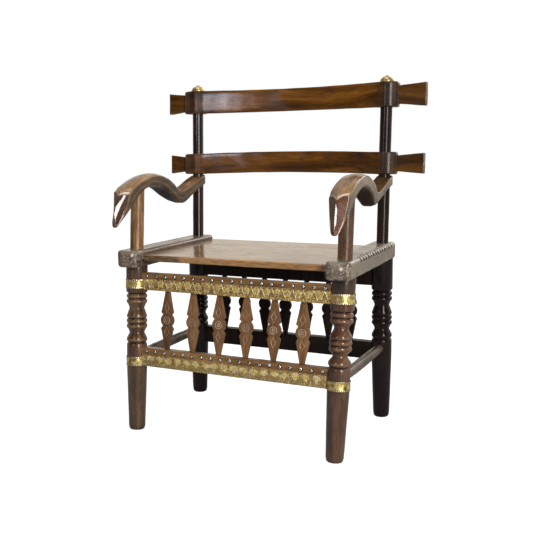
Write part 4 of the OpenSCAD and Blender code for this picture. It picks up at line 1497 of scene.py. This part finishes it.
            # Painted highlight along the mouth line on the upper corner; the head's corner darker
            # elsewhere; painted sheen lower down.
            out.append((at, (0.9 * mouth * (i < 3), 0.4 * head * (1 - mouth), 0.0, side_sheen * (i > 2),
                             -3.0 * head)))
        side_top, side_foot = out[-1][0], under - drop * r
        side_foot.x = foot - 7.0 * tuck
        for i in range(1, 9):
            at = side_top.lerp(side_foot, i / 9)
            at.x = max(0.0, at.x - 0.8 * mouth * (i == 5) * min(1.0, half / 8))
            # Side walls: painted highlight and a dark line at the mouth, painted shade on the left arm's
            # sides, painted sheen on all.
            out.append((at, (0.3 * mouth * (i in (4, 5)), 0.5 * mouth if i == 6 else 0.6 * (not right),
                             0.0, side_sheen)))
        # Painted shade on the lower round and the underside.
        for i in range(5):
            t = radians(90 * i / 4)
            at = side_foot + Vector((-r * (1 - cos(t)), 0, 0)) + drop * (r * sin(t))
            out.append((at, (0.0, 0.6)))
        edge = out[-1][0]
        for i in range(1, 7):
            out.append((edge.lerp(Vector((0, ly, lz)), i / 6),
                        (0.0, 0.94, 0.0, 0.0, -3.0 * clamp((ly - 70) / 50))))
        return [((way * at.x, at.y, at.z), tone) for at, tone in out]

    def build(self) -> None:
        """Make and dress both arms, their polished faces as wood of their own."""
        end_y = DEPTH + ARM_RISE * 0.9 * tan(radians(BACK_LEAN))
        for side, peak, bulge, skew in ((Side.LEFT, -64.0, 1.7, -1.6), (Side.RIGHT, -70.0, 0.45, 2.8)):
            rings = []
            for row in denser(self.head_rows(peak, bulge), 3) + denser(self.bar_rows(side), 3):
                right, left = (self.half_ring(row, way, side, skew) for way in (1, -1))
                rings.append(list(zip(*right, *left[-2:0:-1])))
            bm = hand_worked(skin(*zip(*rings)), 0.3, 26.0, side.value * 8.8)
            polish = bm.verts.layers.float["polish"]
            for face in bm.faces:
                face.material_index = int(min(vert[polish] for vert in face.verts) > 0.5)
            place = (shift(side.value * (REAR_X + 0.5), FRONT_Y + end_y, RAIL_TOP + ARM_RISE)
                     @ turn_by("Z", side.value * self.toe) @ shift(0, -end_y, 0))
            self.hand_over(bm, f"{side.word}_armrest", "carved", "arm_wood", ARM_WOOD, place, 50,
                           HEAD_WOOD)


@dataclass
class BackSlats(Part):
    """Bowed back slats with thick post blocks and flared tails.

    Attributes:
        bow, thick: how far the bar bows back, and its thickness.
        reach, block, half: half length of the bow, to the end of a block and to a tail's tip.
        left_extra: how much longer the left block is.
        front_line, back_line: faces of a block, as x and y.
        body, tail: x of the sections.
    """

    bow: float = 29.0
    thick: float = 18.0
    reach: float = 238.0
    block: float = 281.0
    half: float = 344.5
    left_extra: float = 9.5
    front_line: tuple = ((232, -13), (240, -15.6), (250, -18.6), (254, -19.3), (258, -18.9),
                         (264, -17.6), (268, -16.1), (271, -13.6), (276, -9.4), (281, -5))
    back_line: tuple = ((222, 6.2), (226, 8), (233, 13.5), (240, 18.2), (246, 19), (273, 18.5),
                        (281, 16))
    body: Row = (*(i * 9.0 for i in range(25)), 220, 223, 226, 229, 232, 236, 240, 244, 248, 251,
                 253, 254.5, 256, 259, 263, 267, 270, 273, 275.5, 277.5, 279, 280.2, 281)
    tail: Row = (281.02, *(281 + 7.9 * i for i in range(1, 8)), 341, 343.4, 344.3, 344.5)

    def bar_y(self, x: float, out: float) -> float:
        """Front (out 0) or back face of the bowed bar."""
        r = (self.reach**2 + self.bow**2) / (2 * self.bow)
        return self.bow / 2 - r + sqrt((r + out)**2 - x * x)

    def stretch(self, x: float, short: float) -> float:
        """Move the left block's end out and the left tail's tip in, as the maker cut them.

        Args:
            x: place on the slat with two equal ends.
            short: how much shorter the left tail is.

        Returns:
            Where that place lies.
        """
        if x > 12 - self.block:
            return x
        if x > -self.block - 0.03:
            return 12 - self.block + (x + self.block - 12) * (12 + self.left_extra) / 12
        start = -self.block - self.left_extra
        return start + (x + self.block) * (short - self.half - start) / (self.block - self.half)

    def row(self, x: float, h: float, rise: float, waist: float, neck: float) -> Row:
        """Section of the right half of the slat.

        Args:
            x: distance from the middle.
            h, rise, waist, neck: sizes, as for slat.

        Returns:
            Front, back, top, foot and corner radius.
        """
        block = self.block
        if x > block:
            k = (x - block) / (self.half - block)
            return (2.6 + 5.4 * k, 17.3 + 4.7 * k, (h - neck) + (neck - 2.5) * k,
                    (neck - 1) * (1 - k) + 1.5 * k, 1.6)
        s = max(0.0, 1 - (x / self.reach)**2)
        front = self.bar_y(x, 0) if x < 232 else line_at(self.front_line, x)[0]
        back = self.bar_y(x, self.thick) if x < 222 else line_at(self.back_line, x)[0]
        ease = 4 - sqrt(max(0.0, 16 - max(0.0, x - (block - 4))**2))
        return (front + ease * 0.5, back - ease * 0.5, h + (rise - waist) * s - ease,
                (rise + waist) * s + ease, 3.0)

    def slat(self, h: float, rise: float, waist: float, neck: float, short: float) -> Mesh:
        """Skin one slat.

        Args:
            h: height of the slat.
            rise: how far its middle arches up.
            waist: how far each edge narrows in the middle.
            neck: how far the tail is cut in at the block.
            short: how much shorter its left tail is.

        Returns:
            The slat in the back frame.
        """
        right = [(1, x, self.row(x, h, rise, waist, neck)) for x in self.body + self.tail]
        left = [(-1, x, spot) for _, x, spot in reversed(right)]
        rows, tones = [], []
        for sign, x, (front, back, top, foot, r) in left + right[1:]:
            pull = 1.1 * max(0.0, 1 - (self.half - x) / 1.2)**2
            place = self.stretch(sign * x, short)
            ring = rounded_ring(front + pull, back - pull, foot + pull, top - pull, r, 6, 4)
            rows.append([(place, y, z) for y, z in ring])
            shade = clamp((x - (195 if rise < 1 else 150)) / 45) if x < 270 else 0.8
            if x > self.block + 0.01:
                shade = 0.5 if sign > 0 else 0.2
            shade *= (0.85 if sign > 0 else 0.55) * (0.6 if x < 250 else 1.0)
            tones.append([(0.0, shade, 0.0, 0.0, -1.2 * (238 < x < 281.01))] * len(ring))
        return skin(rows, tones)

    def build(self) -> None:
        """Make and dress both slats."""
        jobs = [("top", (58.0, 0.0, 1.5, 8.5, 0.0), 2.0, 319.8),
                ("lower", (52.5, 5.0, 0.0, 8.0, 5.0), 11.0, 163.3)]
        for name, sizes, seed, z in jobs:
            self.hand_over(hand_worked(self.slat(*sizes), 0.5, 34.0, seed), f"{name}_back_slat",
                           "bowed", "slat_wood", SLAT_WOOD, BACK_ROW @ shift(0, 0, z), 50)


@dataclass
class SmallTurnings(Part):
    """Stretchers, brass finials and the pegs of the seat rails."""

    finial_r: float = 16.5
    finial_h: float = 16.0
    finial_z: float = 377.8
    stretcher_z: float = 177.0
    stretcher_line: tuple = ((0, 10.5), (8, 10.5), (60, 12), (120, 12.1), (DEPTH * 0.6, 12),
                             (DEPTH - 20, 10.5), (DEPTH, 10.5))

    def finial(self) -> Mesh:
        """The domed brass cap of a back post.

        Returns:
            The cap, its foot at 0.
        """
        r, rise = self.finial_r, self.finial_h
        dome = [(r * cos(t) ** 0.9, 1.6 + 11.4 * sin(t))
                for t in (radians(8 + 64 * i / 9) for i in range(10))]
        return turned([(0, -0.4), (r, -0.4), (r + 0.1, 0.6), (r, 1.6), *dome, (4.4, 13.2),
                       (3.9, 14.2), (3.2, 15.2), (1.8, rise - 0.15), (0, rise)], 48)

    def stretcher(self) -> Mesh:
        """A slim round bar between a front and a rear leg."""
        rows = [(line_at(self.stretcher_line, z)[0], z) for z in (DEPTH * i / 40 for i in range(41))]
        return turned([(0, 0), *rows, (0, DEPTH)], 40)

    @staticmethod
    def pegs(side: Side) -> Mesh:
        """The pegs that pin the legs in a seat rail.

        Args:
            side: which rail it is.

        Returns:
            Both pegs, in their places.
        """
        whole = bmesh.new()
        for y in (FRONT_Y - 2.6, REAR_Y):
            outer = SeatBoard.half(y) + RAIL_W / cos(radians(RAIL_TOE))
            one = turned([(0, -27), (3, -27), (3, 0.2), (2.6, 0.5), (0, 0.7)], 20)
            one.transform(shift(side.value * outer, y, RAIL_TOP - RAIL_H + 10)
                          @ turn_by("Y", 90 * side.value))
            join(whole, one)
        return whole

    def build(self) -> None:
        """Make and dress all small turnings."""
        for side in Side:
            self.hand_over(hand_worked(self.finial(), 0.3, 9.0, side.value * 2.0),
                           f"{side.word}_finial", "cap", "cap_brass", CAP_BRASS,
                           beside(BACK_ROW, side, REAR_X) @ shift(0, 0, self.finial_z))
        for side in Side:
            place = shift(side.value * (FRONT_X - 2), FRONT_Y, self.stretcher_z) @ turn_by("X", -90)
            self.hand_over(hand_worked(self.stretcher(), 0.4, 26.0, side.value * 6.0),
                           f"{side.word}_stretcher", "bar", "turned_wood", STRETCHER_WOOD, place)
        for side in Side:
            self.hand_over(self.pegs(side), f"{side.word}_rail_pegs", "round", "rail_wood",
                           POST_RIGHT)


@dataclass(frozen=True)
class View:
    """Camera that matches the photograph.

    Attributes:
        place: camera position in metres.
        yaw, pitch, roll: heading positive towards -X, downward tilt and roll, in radians.
        focal: focal length in pixels of the frame.
        centre: principal point in pixels.
        frame_px: width and height of the frame in pixels.
        sensor: width of the sensor in millimetres.
    """

    place: Spot = (0.79606, -1.73739, 0.67588)
    yaw: float = 0.47351
    pitch: float = 0.17804
    roll: float = -0.01747
    focal: float = 809.887
    centre: Pair = (223.758, 289.245)
    frame_px: float = 540.0
    sensor: float = 36.0

    def build(self) -> None:
        """Make the camera and set it as the scene's own."""
        fwd = Vector((-sin(self.yaw) * cos(self.pitch), cos(self.yaw) * cos(self.pitch),
                      -sin(self.pitch)))
        right = Vector((cos(self.yaw), sin(self.yaw), 0.0))
        up = right.cross(fwd)
        across = right * cos(self.roll) + up * sin(self.roll)
        above = up * cos(self.roll) - right * sin(self.roll)
        data = bpy.data.cameras.new("photo_view")
        data.sensor_width = self.sensor
        data.lens = self.focal * self.sensor / self.frame_px
        data.shift_x = (self.frame_px / 2 - self.centre[0]) / self.frame_px
        data.shift_y = (self.centre[1] - self.frame_px / 2) / self.frame_px
        data.clip_end = 50.0
        cam = linked("photo_view", data)
        turn = Matrix((across, above, -fwd)).transposed().to_4x4()
        cam.matrix_world = Matrix.Translation(self.place) @ turn
        bpy.context.scene.camera = cam


@dataclass(frozen=True)
class Lamp:
    """A soft box aimed at the middle of the chair.

    Attributes:
        name: lamp name.
        azimuth: degrees from straight ahead of the chair towards its right.
        height: elevation in degrees.
        distance: metres from the chair.
        size: width and height in metres.
        power: watts.
        colour: tint.
    """

    name: str
    azimuth: float
    height: float
    distance: float
    size: Pair
    power: float
    colour: Colour = (1.0, 1.0, 1.0)

    def build(self) -> None:
        """Hang the lamp and aim it."""
        data = bpy.data.lights.new(self.name, "AREA")
        data.shape = "RECTANGLE"
        data.size, data.size_y = self.size
        data.energy, data.color = self.power, self.colour
        turn, lift = radians(self.azimuth), radians(self.height)
        way = Vector((sin(turn) * cos(lift), -cos(turn) * cos(lift), sin(lift)))
        lamp = linked(self.name, data)
        lamp.location = Vector((0, 0, 0.45)) + way * self.distance
        lamp.rotation_euler = way.to_track_quat("Z", "Y").to_euler()


@dataclass
class Studio:
    """White backdrop, pale floor and soft boxes.

    Attributes:
        lamps: the soft boxes.
        ambient: light of the backdrop on matt surfaces.
        dim_front: light of its front side in reflections.
        floor_seen: brightness of the floor to the camera.
        warm: tint of the backdrop's light.
    """

    lamps: tuple[Lamp, ...] = (
        Lamp("key", 46.0, 13.0, 3.0, (0.7, 1.9), 76.0, (1.0, 0.98, 0.95)),
        Lamp("front", -11.3, 19.5, 1.62, (0.17, 0.3), 3.2, (0.84, 0.86, 1.0)),
        Lamp("overhead", 0.0, 80.0, 2.8, (1.6, 1.6), 32.0),
        Lamp("back", 160.0, 30.0, 3.2, (1.5, 1.5), 28.0))
    ambient: float = 0.18
    dim_front: float = 0.07
    floor_seen: float = 0.955
    warm: Colour = (1.0, 0.93, 0.82)

    def backdrop(self) -> None:
        """White to the camera, white behind and dim in front for reflections."""
        world = bpy.data.worlds.new("studio")
        bpy.context.scene.world = world
        world.use_nodes = True
        graph, background = Graph(world.node_tree), world.node_tree.nodes["Background"].inputs
        rays = graph.add("LightPath").outputs
        seen = graph.math("MAXIMUM", rays["Is Glossy Ray"], rays["Is Transmission Ray"])
        way = graph.add("SeparateXYZ", {0: graph.coords.node.outputs["Generated"]}).outputs["Y"]
        fade = graph.spread(way, -0.25, 0.4, self.dim_front, 1.0)
        light = graph.add("Mix", {0: seen, 2: self.ambient, 3: fade}).outputs[0]
        light = graph.add("Mix", {0: rays["Is Camera Ray"], 2: light, 3: 1.0}).outputs[0]
        graph.feed(background["Strength"], light)
        graph.feed(background["Color"], graph.mix(rays["Is Camera Ray"], self.warm, (1.0, 1.0, 1.0)))

    def floor(self) -> None:
        """A pale floor that keeps a faint shadow."""
        bm = bmesh.new()
        bmesh.ops.create_grid(bm, x_segments=1, y_segments=1, size=12.0)
        floor = solid("floor", bm)
        mat = bpy.data.materials.new("pale_floor")
        mat.use_nodes = True
        graph, nodes = Graph(mat.node_tree), mat.node_tree.nodes
        nodes.remove(nodes["Principled BSDF"])
        rays = graph.add("LightPath").outputs
        seen = graph.math("MAXIMUM", rays["Is Camera Ray"], rays["Is Transmission Ray"])
        low = graph.math("MULTIPLY_ADD", rays["Is Glossy Ray"], self.floor_seen * 0.25, seen)
        glow = graph.add("Emission", {"Strength": graph.times(low, self.floor_seen)}).outputs[0]
        matt = graph.add("BsdfDiffuse", {"Color": (0.3, 0.3, 0.3)}).outputs[0]
        both = graph.add("AddShader", {0: matt, 1: glow}).outputs[0]
        graph.feed(nodes["Material Output"].inputs["Surface"], both)
        floor.data.materials.append(mat)

    def build(self) -> None:
        """Set up the backdrop, the floor and the lamps."""
        self.backdrop()
        self.floor()
        for lamp in self.lamps:
            lamp.build()
        bpy.context.scene.view_settings.view_transform = "Standard"


def main() -> None:
    """Build the camera, the chair's parts and the studio in order."""
    logging.basicConfig(level=logging.INFO, format="%(name)s: %(message)s")
    View().build()
    for part in (Legs(), Posts(), SeatRails(), SeatBoard(), CrossRails(), Splats(), BrassStrips(),
                 Nails(), Bands(), Armrests(), BackSlats(), SmallTurnings()):
        part.build()
    Studio().build()


if __name__ == "__main__":
    main()
